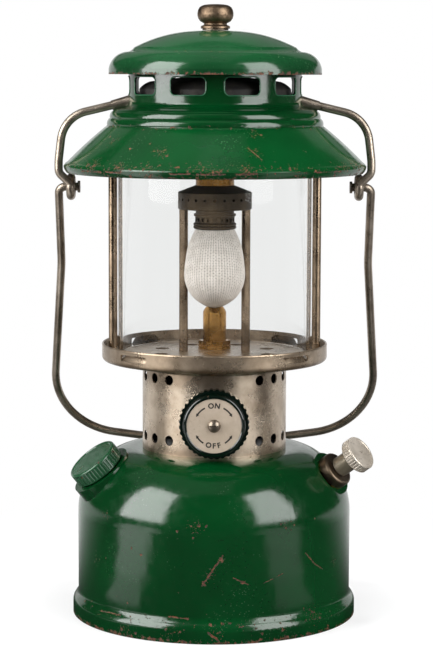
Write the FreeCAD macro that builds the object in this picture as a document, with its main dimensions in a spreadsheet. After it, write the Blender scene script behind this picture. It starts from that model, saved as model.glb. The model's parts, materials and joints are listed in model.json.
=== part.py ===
import FreeCAD, Part
import math
import os
import Sketcher
from FreeCAD import Placement, Rotation, Vector

# Kerosene pressure lantern, in millimetres. The origin is the centre of the base on the ground,
# +Z is up, the valve knob faces -Y, the filler is on the -X side and the pump on the +X side.

SIZES = [
    # fount: the pressed steel tank
    ("fount_radius", 76.6, "outside radius of the tank's side"),
    ("foot_radius", 79.6, "outside radius of the foot bead"),
    ("foot_height", 6.4, "height of the foot bead"),
    ("foot_flare", 13.9, "height where the foot has run out into the side"),
    ("seat_height", 93.6, "top of the tank, where the collar sits"),
    ("shoulder_radius", 37.1, "radius of the shoulder's lower arc"),
    ("shoulder_turn", 60, "degrees turned by the lower arc"),
    ("crown_radius", 25.9, "radius of the arc from the shoulder to the flat top"),
    ("tank_wall", 1.2, "sheet thickness of the tank"),
    ("bottom_rise", 3, "how far the bottom plate domes upwards"),
    ("bottom_sink", 0.4, "how far the bottom plate's edge lies below the foot bead's top"),
    ("flat_depth", 12, "how far the drums of the pressed flats reach into the tank"),
    # filler
    ("filler_reach", 66.4, "distance of the filler's seat from the lantern's axis"),
    ("filler_azimuth", 199, "degrees from +X to the filler"),
    ("filler_tilt", 38.5, "degrees between the filler's axis and the vertical"),
    ("filler_flat_radius", 17.8, "radius of the pressed flat round the filler"),
    ("neck_radius", 10.8, "outside radius of the filler neck"),
    ("neck_bore", 8.6, "inside radius of the filler neck"),
    ("neck_height", 5, "height of the neck above its flat"),
    ("filler_cap_radius", 14.8, "outside radius of the filler cap"),
    ("filler_cap_height", 8.3, "height of the filler cap"),
    ("filler_cap_roof", 2, "thickness of the filler cap's top"),
    ("gasket_thickness", 1.5, "thickness of the filler cap's gasket"),
    ("filler_flutes", 48, "number of flutes round the filler cap"),
    # pump
    ("pump_reach", 68, "distance of the pump's seat from the lantern's axis"),
    ("pump_seat_azimuth", -17, "degrees from +X to the pump's seat"),
    ("pump_azimuth", -33, "degrees from +X to where the pump's axis points"),
    ("pump_tilt", 54.2, "degrees between the pump's axis and the vertical"),
    ("pump_flat_radius", 13, "radius of the pressed flat round the pump"),
    ("barrel_radius", 9.5, "outside radius of the pump barrel"),
    ("barrel_wall", 0.8, "wall of the pump barrel"),
    ("barrel_length", 96, "length of the pump barrel inside the tank"),
    ("barrel_flange", 0.8, "thickness of the barrel's flange"),
    ("gland_radius", 9.9, "outside radius of the pump cap"),
    ("gland_height", 5.2, "height of the pump cap"),
    ("gland_plug", 6, "length of the pump cap's plug inside the barrel"),
    ("plunger_radius", 3, "outside radius of the hollow pump rod"),
    ("plunger_bore", 1.9, "inside radius of the hollow pump rod"),
    ("plunger_rest", 4, "height of the pump rod's lower end above the barrel's"),
    ("cup_length", 9, "length of the leather cup"),
    ("air_stem_radius", 1.3, "radius of the air stem"),
    ("pump_hub_radius", 5.6, "radius of the pump knob's hub"),
    ("pump_hub_length", 11.2, "length of the pump knob's hub"),
    ("pump_knob_radius", 9.95, "radius of the pump knob"),
    ("pump_knob_thickness", 6, "thickness of the pump knob's disc"),
    ("pump_flutes", 36, "number of flutes round the pump knob"),
    ("check_valve_radius", 4.5, "radius of the check valve"),
    ("check_valve_length", 9, "length of the check valve"),
    # fuel way and valve
    ("bush_radius", 9, "outside radius of the outlet bush"),
    ("bush_bore", 5.5, "bore of the outlet bush"),
    ("bush_length", 9.6, "length of the outlet bush"),
    ("pickup_radius", 3.2, "outside radius of the fuel pickup tube"),
    ("pickup_bore", 2.4, "inside radius of the fuel pickup tube"),
    ("pickup_foot_height", 7, "height of the strainer foot"),
    ("pickup_foot_radius", 4.4, "radius of the strainer foot"),
    ("valve_rise", 20.4, "height of the valve stem's axis above the tank"),
    ("valve_flats", 20, "distance across the valve body's hexagon"),
    ("valve_hex_height", 5.5, "height of the valve body's hexagon"),
    ("column_radius", 8, "radius of the column under the valve body's block"),
    ("valve_half_width", 9.5, "half the width of the valve body's block"),
    ("valve_block_height", 20, "height of the valve body's block"),
    ("valve_front", 11, "how far the block reaches in front of the lantern's axis"),
    ("valve_back", 22, "how far the block reaches behind the lantern's axis"),
    ("stem_radius", 2.5, "radius of the valve stem"),
    ("packing_flats", 13, "distance across the packing nut"),
    ("packing_height", 7, "height of the packing nut"),
    ("cam_high", 5.9, "largest radius of the snail cam"),
    ("cam_lift", 2.5, "how much the snail cam falls in three quarters of a turn"),
    ("cam_thickness", 3, "thickness of the snail cam"),
    ("cam_room_radius", 7.5, "radius of the room that the snail cam turns in"),
    ("cam_room_length", 7.2, "length of the room that the snail cam turns in"),
    ("knob_radius", 19.1, "outside radius of the valve knob"),
    ("knob_depth", 11.6, "depth of the valve knob"),
    ("knob_rim", 6.6, "depth of the scalloped part of the valve knob"),
    ("knob_standoff", 5.4, "gap between the collar and the valve knob"),
    ("knob_scallops", 36, "number of scallops round the valve knob"),
    ("dial_radius", 14.8, "radius of the dial plate"),
    ("dial_thickness", 0.8, "thickness of the dial plate"),
    ("dial_recess", 0.6, "how far the dial lies below the knob's front"),
    ("screw_head_radius", 3.5, "radius of the dial screw's head"),
    ("screw_head_height", 2.6, "height of the dial screw's head"),
    ("screw_slot_width", 0.7, "width of the dial screw's slot"),
    ("screw_slot_depth", 0.8, "depth of the dial screw's slot"),
    # collar
    ("collar_radius", 40.3, "outside radius of the collar"),
    ("collar_wall", 0.9, "sheet thickness of the collar"),
    ("collar_top", 138.6, "height where the collar starts to flare"),
    ("collar_lip_radius", 45.6, "outside radius of the collar's lip"),
    ("collar_lip_height", 141.2, "height of the collar's lip"),
    ("collar_seat_radius", 53, "outside radius of the collar's seat under the tray"),
    ("air_hole_radius", 2.8, "radius of the collar's air holes"),
    ("air_hole_low", 101.7, "height of the lower row of air holes"),
    ("air_hole_high", 135.2, "height of the upper row of air holes"),
    ("air_hole_count", 18, "air holes in each row"),
    ("air_hole_start", 38, "degrees from the front to the first air hole"),
    # tray
    ("floor_height", 147.3, "top of the tray's floor"),
    ("tray_wall", 1, "sheet thickness of the tray"),
    ("floor_radius", 59.5, "radius of the tray's raised floor"),
    ("tray_radius", 62.9, "outside radius of the tray"),
    ("tray_top", 152.6, "height of the tray's rim"),
    ("tray_bottom", 142.7, "underside of the tray's gutter"),
    ("tray_corner", 2.5, "corner radius under the tray's rim"),
    ("slot_width", 20, "width of the tray's air slots"),
    ("slot_height", 3.5, "height of the tray's air slots"),
    ("slot_centre", 148.3, "height of the middle of the tray's air slots"),
    ("floor_hole_radius", 4, "radius of the air holes in the tray's floor"),
    ("floor_hole_reach", 32, "distance of the floor's air holes from the axis"),
    # posts, ring and globe
    ("post_radius", 2.45, "radius of the posts"),
    ("post_reach", 56.8, "distance of the outer posts from the axis"),
    ("burner_post_reach", 17.4, "distance of the burner posts from the axis"),
    ("tenon_radius", 1.5, "radius of the posts' tenons"),
    ("globe_radius", 53.9, "outside radius of the glass"),
    ("globe_wall", 2.2, "thickness of the glass"),
    ("ring_height", 268, "top of the ring that carries the hood"),
    ("ring_thickness", 1.2, "thickness of the ring"),
    ("ring_lip", 8, "depth of the ring's lip inside the glass"),
    ("post_nut_flats", 6, "distance across the post nuts"),
    ("post_nut_height", 2.6, "height of the post nuts"),
    # burner
    ("generator_back", 14, "how far the generator stands behind the axis"),
    ("generator_radius", 6.6, "radius of the generator's thick lower part"),
    ("generator_thin_radius", 3.6, "radius of the generator's upper part"),
    ("generator_bore", 2, "bore of the generator"),
    ("generator_shoulder", 168, "height where the generator narrows"),
    ("generator_top", 231, "top of the generator"),
    ("generator_nut_radius", 9.2, "radius of the generator nut's flange"),
    ("generator_nut_flats", 15.6, "distance across the generator nut"),
    ("generator_nut_height", 4.6, "height of the generator nut"),
    ("jet_radius", 2.6, "radius of the gas jet"),
    ("jet_height", 4, "height of the gas jet above the generator"),
    ("cleaner_radius", 0.9, "radius of the cleaning rod"),
    ("needle_radius", 0.3, "radius of the cleaning needle"),
    ("needle_length", 4, "length of the cleaning needle"),
    ("drum_radius", 20.6, "outside radius of the burner drum"),
    ("drum_bottom", 227.1, "underside of the burner drum"),
    ("drum_top", 236.8, "top of the burner drum's side"),
    ("drum_cone_top", 240.4, "height where the drum's cone meets the mixing chamber"),
    ("burner_wall", 0.9, "sheet thickness of the burner"),
    ("chamber_radius", 10.75, "outside radius of the mixing chamber"),
    ("chamber_top", 262, "top of the mixing chamber"),
    ("drum_hole_radius", 0.8, "radius of the drum's air holes"),
    ("drum_hole_count", 24, "number of the drum's air holes"),
    ("mantle_forward", 9, "how far the mantle hangs in front of the axis"),
    ("nozzle_radius", 10.9, "radius of the nozzle's perforated band"),
    ("nozzle_bead_radius", 11.4, "radius of the valley between the nozzle's two beads"),
    ("nozzle_bead_height", 1.6, "height of each of the nozzle's beads"),
    ("nozzle_flange_height", 216.9, "underside of the nozzle's lower bead"),
    ("nozzle_lip_radius", 11.6, "radius of the nozzle's lip"),
    ("nozzle_lip_height", 224, "underside of the nozzle's lip"),
    ("nozzle_lip_thickness", 1.1, "thickness of the nozzle's lip"),
    ("nozzle_mouth_radius", 8.4, "radius of the nozzle's mouth"),
    ("nozzle_mouth_length", 8.4, "length of the nozzle's mouth below the flange"),
    ("nozzle_bore", 5, "bore of the nozzle"),
    ("nozzle_hole_radius", 1.15, "radius of the nozzle's perforations"),
    ("nozzle_hole_height", 222, "height of the nozzle's perforations"),
    ("nozzle_hole_count", 20, "number of the nozzle's perforations"),
    ("mantle_radius", 16.6, "widest radius of the mantle"),
    ("mantle_waist", 191, "height where the mantle is widest"),
    ("mantle_bottom", 172.2, "lowest point of the mantle"),
    ("mantle_neck_radius", 10.2, "radius of the mantle's neck"),
    ("mantle_wall", 0.8, "thickness of the knitted mantle"),
    # hood
    ("brim_radius", 84, "widest radius of the hood"),
    ("brim_height", 251, "height where the brim is widest"),
    ("brim_lip_radius", 82.2, "radius of the brim's lower edge"),
    ("brim_lip_height", 247.4, "height of the brim's lower edge"),
    ("cone_foot_radius", 82, "radius where the cone starts above the brim"),
    ("cone_foot_height", 253.3, "height where the cone starts above the brim"),
    ("cone_top_radius", 60.9, "radius where the cone ends"),
    ("cone_top_height", 272.6, "height where the cone ends"),
    ("bead_radius", 59.9, "radius at the foot of the shoulder's lower bead"),
    ("bead_taper", 1.55, "how much the radius falls from each bead to the next"),
    ("bead_foot", 273.6, "height where the lower bead starts"),
    ("bead_pitch", 3.9, "height of each bead"),
    ("ledge_radius", 54.5, "radius of the ledge above the beads"),
    ("ledge_height", 282.6, "height of the ledge"),
    ("band_radius", 47.9, "outside radius of the window band"),
    ("band_foot", 286.4, "height where the window band starts"),
    ("hood_wall", 1, "sheet thickness of the hood"),
    ("window_bottom", 290.3, "lower edge of the windows"),
    ("window_top", 300.3, "upper edge of the windows"),
    ("window_width", 20, "width of a window"),
    ("window_corner", 2.8, "corner radius of a window"),
    ("window_count", 10, "number of windows"),
    ("window_room", 8, "depth that is cut to open a window"),
    # cap
    ("cap_top_height", 325.4, "height of the cap's flat centre"),
    ("cap_top_radius", 8.6, "radius of the cap's flat centre"),
    ("dome_radius", 44.9, "radius where the cap's dome ends"),
    ("dome_height", 316.2, "height where the cap's dome ends"),
    ("groove_radius", 48.3, "radius where the cap's groove ends"),
    ("groove_height", 313.9, "height where the cap's groove ends"),
    ("cap_radius", 58.9, "outside radius of the cap"),
    ("cap_roll_height", 304.5, "height where the cap's edge turns down"),
    ("cap_bottom", 301.5, "lower edge of the cap"),
    ("baffle_radius", 42, "radius of the baffle's wall"),
    ("baffle_height", 289.2, "height of the baffle's edge"),
    ("baffle_side", 4.3, "height of the baffle's wall"),
    ("baffle_shoulder_radius", 36, "radius of the baffle's shoulder"),
    ("baffle_shoulder_rise", 8.4, "height of the baffle's shoulder above its edge"),
    ("baffle_rise", 12.8, "height of the baffle's middle above its edge"),
    ("baffle_wall", 0.8, "sheet thickness of the baffle"),
    ("baffle_tab_width", 8, "width of the baffle's three tabs"),
    # stud and ball nut
    ("stud_radius", 2.5, "radius of the vent stud"),
    ("stud_tail", 5, "length of the vent stud inside the mixing chamber"),
    ("stud_flange_radius", 5.2, "radius of the stud's flange"),
    ("stud_flange_height", 2, "height of the stud's flange"),
    ("washer_radius", 7.2, "radius of the ball nut's washer"),
    ("washer_thickness", 0.8, "thickness of the ball nut's washer"),
    ("ball_foot_radius", 8.05, "radius of the ball nut's foot"),
    ("ball_neck_radius", 6.4, "radius of the ball nut's neck"),
    ("ball_radius", 9.9, "radius of the ball"),
    ("ball_rise", 9.2, "height of the ball's middle above the cap"),
    ("ball_crown", 5.4, "height of the ball nut's top above the ball's middle"),
    ("stud_reach", 1.4, "height of the vent stud's top above the ball's middle"),
    # wires
    ("ear_wire_radius", 2.3, "radius of the ears' wire"),
    ("eye_wire_radius", 2.45, "radius of the wire round the ears' eyes"),
    ("ear_height", 286.6, "height where the ears leave the window band"),
    ("ear_slope", 13.5, "degrees that the ears fall away from the hood"),
    ("ear_reach", 86.5, "distance of the ears' upright part from the middle"),
    ("ear_corner_inset", 2.9, "how far the ears' outer corner lies inside their upright part"),
    ("ear_corner_radius", 18, "bend radius of the ears' outer corner"),
    ("ear_leg_bend", 30, "bend radius where the ears turn upright"),
    ("ear_brim_rise", 3, "height of that bend above the brim's widest line"),
    ("eye_reach", 80, "distance of the ears' eyes from the middle"),
    ("ferrule_radius", 3.4, "radius of the ferrules' inner end"),
    ("ferrule_tip_radius", 2.65, "radius of the ferrules' outer end"),
    ("ferrule_outer", 57, "distance of the ferrules' outer end from the middle"),
    ("pivot_height", 239.3, "height of the bail's pivot"),
    ("bail_wire_radius", 2.3, "radius of the bail's wire"),
    ("bail_reach", 86.9, "distance of the bail's legs from the middle at the pivot"),
    ("bail_straight", 48, "length of the bail's upright run under the pivot"),
    ("bail_leg_bend", 90, "bend radius under the bail's upright run"),
    ("bail_spread", 95.6, "distance of the bail's lower corners from the middle"),
    ("bail_corner_drop", 157, "distance of the bail's lower corners from the pivot"),
    ("bail_corner_radius", 39.5, "bend radius of the bail's lower corners"),
    ("bail_length", 172.2, "distance of the bail's middle corner from the pivot"),
    ("bail_grip_radius", 300, "bend radius of the bail's grip"),
    ("bail_hook_radius", 3.9, "bend radius where the bail turns into its eyes"),
    # clearances
    ("running_clearance", 0.08, "radial gap of a part that turns or slides in a bore"),
    ("loose_clearance", 0.3, "gap between parts that come apart or rest on each other"),
    ("thread_clearance", 0.1, "radial gap left for a thread"),
]

doc = FreeCAD.newDocument("pressure_lantern")
sheet = doc.addObject("Spreadsheet::Sheet", "sizes")


class Size:
    """A length, ratio or angle: its value now, and the sheet formula that gives it."""

    def __init__(self, value, formula):
        self.value = value
        self.formula = formula

    def __add__(self, other):
        return Size(self.value + number(other), f"({self.formula} + {formula(other)})")

    def __radd__(self, other):
        return Size(number(other) + self.value, f"({formula(other)} + {self.formula})")

    def __sub__(self, other):
        return Size(self.value - number(other), f"({self.formula} - {formula(other)})")

    def __rsub__(self, other):
        return Size(number(other) - self.value, f"({formula(other)} - {self.formula})")

    def __mul__(self, other):
        return Size(self.value * number(other), f"({self.formula} * {formula(other)})")

    def __rmul__(self, other):
        return Size(number(other) * self.value, f"({formula(other)} * {self.formula})")

    def __truediv__(self, other):
        return Size(self.value / number(other), f"({self.formula} / {formula(other)})")

    def __neg__(self):
        return Size(-self.value, f"(0 - {self.formula})")


def number(size):
    """The plain number of a Size or of a number."""
    if isinstance(size, Size):
        return size.value
    return float(size)


def formula(size):
    """The sheet formula of a Size or of a number."""
    if isinstance(size, Size):
        return size.formula
    return f"({float(size):.10f})"


def root(size):
    return Size(math.sqrt(number(size)), f"sqrt({formula(size)})")


def sine(angle):
    return Size(math.sin(math.radians(number(angle))), f"sin({formula(angle)})")


def cosine(angle):
    return Size(math.cos(math.radians(number(angle))), f"cos({formula(angle)})")


def tangent(angle):
    return Size(math.tan(math.radians(number(angle))), f"tan({formula(angle)})")


class Sheet:
    """The driving sizes, each read as an attribute named like its alias."""


size = Sheet()
for row, (alias, value, meaning) in enumerate(SIZES, start=1):
    sheet.set(f"A{row}", meaning)
    sheet.set(f"B{row}", str(value))
    sheet.setAlias(f"B{row}", alias)
    setattr(size, alias, Size(float(value), f"sizes.{alias}"))
doc.recompute()

QUARTER = math.tan(math.radians(90 / 4))
FULL_TURN = 360

sub_parts = []


# ---------------------------------------------------------------- helpers

def bind(item, prop, amount):
    """Ties a property to the sheet."""
    item.setExpression(prop, formula(amount))


def origin_feature(body, role):
    for feature in body.Origin.OriginFeatures:
        if feature.Role == role:
            return feature
    raise ValueError(role)


def new_body(label):
    body = doc.addObject("PartDesign::Body", label)
    body.Label = label
    return body


def keep(item, label):
    """Marks a finished object as a sub-part."""
    item.Label = label
    sub_parts.append(item)
    return item


def new_sketch(body, name, role, offset=None):
    sketch = body.newObject("Sketcher::SketchObject", name)
    sketch.AttachmentSupport = (origin_feature(body, role), [""])
    sketch.MapMode = "FlatFace"
    if offset is not None:
        sketch.AttachmentOffset = offset
    return sketch


def pin_point(sketch, element, end, x, y):
    """Fixes a point of the sketch at x, y from its origin."""
    for kind, amount, axis in (("DistanceX", x, -2), ("DistanceY", y, -1)):
        if number(amount) == 0 and not isinstance(amount, Size):
            sketch.addConstraint(Sketcher.Constraint("PointOnObject", element, end, axis))
        else:
            index = sketch.addConstraint(Sketcher.Constraint(kind, element, end, number(amount)))
            bind(sketch, f"Constraints[{index}]", amount)


def draw_outline(sketch, corners):
    """Closed outline through corners (x, y) or (x, y, bulge). A bulge is the tangent of a quarter
    of the arc that leaves the corner, positive where the arc turns to the left."""
    first = sketch.GeometryCount
    starts = []
    ends = []
    arcs = []
    for place, corner in enumerate(corners):
        x1, y1 = corner[0], corner[1]
        x2, y2 = corners[(place + 1) % len(corners)][:2]
        bulge = corner[2] if len(corner) > 2 else 0
        a = Vector(number(x1), number(y1), 0)
        b = Vector(number(x2), number(y2), 0)
        if number(bulge) == 0:
            sketch.addGeometry(Part.LineSegment(a, b))
            starts.append(1)
            ends.append(2)
            continue
        tan_quarter = number(bulge)
        chord = b - a
        middle = (a + b) * 0.5
        to_left = Vector(-chord.y, chord.x, 0)
        centre = middle + to_left * ((1 - tan_quarter ** 2) / (4 * tan_quarter))
        from_angle = math.atan2(a.y - centre.y, a.x - centre.x)
        to_angle = math.atan2(b.y - centre.y, b.x - centre.x)
        circle = Part.Circle(centre, Vector(0, 0, 1), (a - centre).Length)
        if tan_quarter > 0:
            sketch.addGeometry(Part.ArcOfCircle(circle, from_angle, to_angle))
            starts.append(1)
            ends.append(2)
        else:
            sketch.addGeometry(Part.ArcOfCircle(circle, to_angle, from_angle))
            starts.append(2)
            ends.append(1)
        width = x2 - x1 if isinstance(x2, Size) or isinstance(x1, Size) else Size(x2 - x1, formula(x2 - x1))
        rise = y2 - y1 if isinstance(y2, Size) or isinstance(y1, Size) else Size(y2 - y1, formula(y2 - y1))
        span = root(width * width + rise * rise)
        steep = bulge if tan_quarter > 0 else -1 * bulge
        arcs.append((first + place, span * (1 + steep * steep) / (4 * steep)))
    count = len(corners)
    for place in range(count):
        after = (place + 1) % count
        sketch.addConstraint(Sketcher.Constraint(
            "Coincident", first + place, ends[place], first + after, starts[after]))
    for place, corner in enumerate(corners):
        pin_point(sketch, first + place, starts[place], corner[0], corner[1])
    for element, radius in arcs:
        index = sketch.addConstraint(Sketcher.Constraint("Radius", element, number(radius)))
        bind(sketch, f"Constraints[{index}]", radius)


def dome_bulge(width, rise):
    """Bulge of an arc that ends on the Z axis, level, after this width and rise."""
    slope = rise / width
    return (root(1 + slope * slope) - 1) / slope


def draw_circle(sketch, x, y, radius):
    circle = Part.Circle(Vector(number(x), number(y), 0), Vector(0, 0, 1), number(radius))
    element = sketch.addGeometry(circle)
    pin_point(sketch, element, 3, x, y)
    index = sketch.addConstraint(Sketcher.Constraint("Radius", element, number(radius)))
    bind(sketch, f"Constraints[{index}]", radius)


def rounded_box(low_x, low_y, high_x, high_y, corner):
    """Corners of a box with rounded corners, for draw_outline."""
    return [
        (low_x + corner, low_y),
        (high_x - corner, low_y, QUARTER),
        (high_x, low_y + corner),
        (high_x, high_y - corner, QUARTER),
        (high_x - corner, high_y),
        (low_x + corner, high_y, QUARTER),
        (low_x, high_y - corner),
        (low_x, low_y + corner, QUARTER),
    ]


def draw_path(sketch, points):
    """Open path of straight runs joined by tangent arcs, through points (x, y, bend radius).
    The first and last points have no bend."""
    at = [Vector(number(x), number(y), 0) for x, y, bend in points]
    cuts = [0]
    for place in range(1, len(at) - 1):
        before = (at[place] - at[place - 1]).normalize()
        after = (at[place + 1] - at[place]).normalize()
        turn = before.getAngle(after)
        cuts.append(number(points[place][2]) * math.tan(turn / 2))
    cuts.append(0)
    runs = []
    for place in range(len(at) - 1):
        along = (at[place + 1] - at[place]).normalize()
        run = Part.LineSegment(at[place] + along * cuts[place], at[place + 1] - along * cuts[place + 1])
        runs.append(sketch.addGeometry(run))
    for place in range(1, len(at) - 1):
        before = (at[place] - at[place - 1]).normalize()
        after = (at[place + 1] - at[place]).normalize()
        start = at[place] - before * cuts[place]
        end = at[place] + after * cuts[place]
        left = before.x * after.y - before.y * after.x > 0
        side = Vector(-before.y, before.x, 0) if left else Vector(before.y, -before.x, 0)
        centre = start + side * number(points[place][2])
        from_angle = math.atan2(start.y - centre.y, start.x - centre.x)
        to_angle = math.atan2(end.y - centre.y, end.x - centre.x)
        circle = Part.Circle(centre, Vector(0, 0, 1), number(points[place][2]))
        if left:
            bend = sketch.addGeometry(Part.ArcOfCircle(circle, from_angle, to_angle))
            near, far = 1, 2
        else:
            bend = sketch.addGeometry(Part.ArcOfCircle(circle, to_angle, from_angle))
            near, far = 2, 1
        corner = sketch.addGeometry(Part.Point(at[place]), True)
        sketch.addConstraint([
            Sketcher.Constraint("Tangent", runs[place - 1], 2, bend, near),
            Sketcher.Constraint("Tangent", bend, far, runs[place], 1),
            Sketcher.Constraint("PointOnObject", corner, 1, runs[place - 1]),
            Sketcher.Constraint("PointOnObject", corner, 1, runs[place]),
        ])
        index = sketch.addConstraint(Sketcher.Constraint("Radius", bend, number(points[place][2])))
        bind(sketch, f"Constraints[{index}]", points[place][2])
        pin_point(sketch, corner, 1, points[place][0], points[place][1])
    pin_point(sketch, runs[0], 1, points[0][0], points[0][1])
    pin_point(sketch, runs[-1], 2, points[-1][0], points[-1][1])


def revolve(body, name, corners, cut=False):
    """Turns an outline in the XZ plane about the body's Z axis, as a solid or as a cut."""
    sketch = new_sketch(body, f"{name}_outline", "XZ_Plane")
    draw_outline(sketch, corners)
    kind = "PartDesign::Groove" if cut else "PartDesign::Revolution"
    turned = body.newObject(kind, name)
    turned.Profile = sketch
    turned.ReferenceAxis = (sketch, ["V_Axis"])
    turned.Angle = FULL_TURN
    body.Tip = turned
    return turned


def lathe(label, corners):
    """A sub-part turned about its own Z axis."""
    body = new_body(label)
    revolve(body, f"{label}_form", corners)
    return keep(body, label)


def core(body, name, radius, low, high, cut=True, at=None):
    """A cylinder along the body's Z axis from low to high, added or cut. at places its axis."""
    kind = "PartDesign::SubtractiveCylinder" if cut else "PartDesign::AdditiveCylinder"
    cylinder = body.newObject(kind, name)
    cylinder.AttachmentSupport = (origin_feature(body, "XY_Plane"), [""])
    cylinder.MapMode = "FlatFace"
    frame = at if at is not None else Placement()
    cylinder.AttachmentOffset = frame * Placement(Vector(0, 0, number(low)), Rotation())
    bind(cylinder, "Radius", radius)
    bind(cylinder, "Height", high - low)
    body.Tip = cylinder
    return cylinder


def taper_hole(body, name, low_radius, high_radius, low, high, at):
    """Cuts a cone along the Z axis of the frame at, from low to high."""
    cone = body.newObject("PartDesign::SubtractiveCone", name)
    cone.AttachmentSupport = (origin_feature(body, "XY_Plane"), [""])
    cone.MapMode = "FlatFace"
    cone.AttachmentOffset = at * Placement(Vector(0, 0, number(low)), Rotation())
    bind(cone, "Radius1", low_radius)
    bind(cone, "Radius2", high_radius)
    bind(cone, "Height", high - low)
    body.Tip = cone
    return cone


def outward(angle, distance=0.0):
    """Attachment of a sketch in the XZ plane, turned about Z by angle from the front and moved
    out from the axis by distance."""
    turn = Rotation(Vector(0, 1, 0), number(angle))
    return Placement(turn.multVec(Vector(0, 0, number(distance))), turn)


def pocket(body, name, sketch, depth, reversed_way=True):
    """Cuts a sketch's shapes outwards from its plane."""
    cut = body.newObject("PartDesign::Pocket", name)
    cut.Profile = sketch
    bind(cut, "Length", depth)
    cut.Reversed = reversed_way
    body.Tip = cut
    return cut


def around(body, name, feature, count, degrees=FULL_TURN):
    """Repeats a feature about the body's Z axis."""
    pattern = body.newObject("PartDesign::PolarPattern", name)
    pattern.Originals = [feature]
    pattern.Axis = (origin_feature(body, "Z_Axis"), [""])
    bind(pattern, "Angle", degrees)
    bind(pattern, "Occurrences", count)
    pattern.Refine = False
    body.Tip = pattern
    return pattern


def flute(body, name, at_radius, flute_radius, low, high, count):
    """Cuts round flutes into an edge, from low to high."""
    sketch = new_sketch(body, f"{name}_flute", "XY_Plane", Placement(Vector(0, 0, number(low)), Rotation()))
    draw_circle(sketch, at_radius, 0, flute_radius)
    cut = pocket(body, f"{name}_flute_cut", sketch, high - low)
    return around(body, f"{name}_flutes", cut, count)


def wire(label, points, radius):
    """A bent wire along a path in the XZ plane. Its section stands square to the first run."""
    body = new_body(label)
    spine = new_sketch(body, f"{label}_path", "XZ_Plane")
    draw_path(spine, points)
    run = number(points[1][0] - points[0][0])
    rise = number(points[1][1] - points[0][1])
    lean = Rotation(Vector(1, 0, 0), -math.degrees(math.atan(rise / run)))
    start = Vector(0, number(points[0][1]), number(points[0][0]))
    profile = new_sketch(body, f"{label}_section", "YZ_Plane", Placement(start, lean))
    draw_circle(profile, 0, 0, radius)
    bind(profile, "AttachmentOffset.Base.y", points[0][1])
    bind(profile, "AttachmentOffset.Base.z", points[0][0])
    pipe = body.newObject("PartDesign::AdditivePipe", f"{label}_sweep")
    pipe.Profile = profile
    pipe.Spine = (spine, [])
    body.Tip = pipe
    return keep(body, label)


def place(item, x=0, y=0, z=0, turn=None):
    """Puts a sub-part at x, y, z, turned by turn."""
    item.Placement = Placement(Vector(number(x), number(y), number(z)), turn or Rotation())
    return item


def cylinder(name, radius, height, x=0, y=0, z=0, turn=None):
    item = doc.addObject("Part::Cylinder", name)
    bind(item, "Radius", radius)
    bind(item, "Height", height)
    return place(item, x, y, z, turn)


def cone(name, low_radius, high_radius, height, x=0, y=0, z=0, turn=None):
    item = doc.addObject("Part::Cone", name)
    bind(item, "Radius1", low_radius)
    bind(item, "Radius2", high_radius)
    bind(item, "Height", height)
    return place(item, x, y, z, turn)


def block(name, low, high):
    item = doc.addObject("Part::Box", name)
    bind(item, "Length", high[0] - low[0])
    bind(item, "Width", high[1] - low[1])
    bind(item, "Height", high[2] - low[2])
    return place(item, low[0], low[1], low[2])


def hexagon(name, flats, height, x=0, y=0, z=0, turn=None):
    item = doc.addObject("Part::Prism", name)
    item.Polygon = 6
    bind(item, "Circumradius", flats / math.sqrt(3))
    bind(item, "Height", height)
    return place(item, x, y, z, turn)


def fuse(name, items):
    item = doc.addObject("Part::MultiFuse", name)
    item.Shapes = items
    return item


def cut_away(name, base, tools):
    item = doc.addObject("Part::Cut", name)
    item.Base = base
    item.Tool = tools[0] if len(tools) == 1 else fuse(f"{name}_tools", tools)
    return item


# ---------------------------------------------------------------- frames of the tilted parts

shoulder_centre = size.fount_radius - size.shoulder_radius
shoulder_foot = (size.seat_height - size.crown_radius * (1 - sine(size.shoulder_turn))
                 - size.shoulder_radius * sine(size.shoulder_turn))


def shoulder_height(reach):
    """Height of the tank's shoulder at a distance from the axis."""
    off = reach - shoulder_centre
    return shoulder_foot + root(size.shoulder_radius * size.shoulder_radius - off * off)


def tilted(reach, azimuth, axis_azimuth, tilt):
    """A frame on the shoulder whose Z axis is tilted outwards."""
    angle = math.radians(number(azimuth))
    spot = Vector(number(reach) * math.cos(angle), number(reach) * math.sin(angle),
                  number(shoulder_height(reach)))
    lean = Rotation(Vector(0, 0, 1), number(axis_azimuth)) * Rotation(Vector(0, 1, 0), number(tilt))
    return Placement(spot, lean)


filler_frame = tilted(size.filler_reach, size.filler_azimuth, size.filler_azimuth, size.filler_tilt)
pump_frame = tilted(size.pump_reach, size.pump_seat_azimuth, size.pump_azimuth, size.pump_tilt)
valve_height = size.seat_height + size.valve_rise
valve_turn = Rotation(Vector(1, 0, 0), 90)
valve_frame = Placement(Vector(0, 0, number(valve_height)), valve_turn)


# ---------------------------------------------------------------- fount

def tank_outline(skin):
    """Outline of the tank, skin below its outer surface; closed along the axis."""
    turn = size.shoulder_turn
    lower = size.shoulder_radius - skin
    upper = size.crown_radius - skin
    crown_centre = shoulder_centre + (size.shoulder_radius - size.crown_radius) * cosine(turn)
    bend_height = shoulder_foot + lower * sine(turn)
    middle_radius = (size.foot_radius + size.fount_radius) / 2
    middle_height = (size.foot_height + size.foot_flare) / 2
    return [
        (size.foot_radius - skin, size.foot_height, 0.2),
        (middle_radius - skin, middle_height, -0.2),
        (size.fount_radius - skin, size.foot_flare),
        (size.fount_radius - skin, shoulder_foot, tangent(turn / 4)),
        (shoulder_centre + lower * cosine(turn), bend_height, tangent((90 - turn) / 4)),
        (crown_centre, shoulder_foot + (size.shoulder_radius - size.crown_radius) * sine(turn) + upper),
    ]


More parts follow.
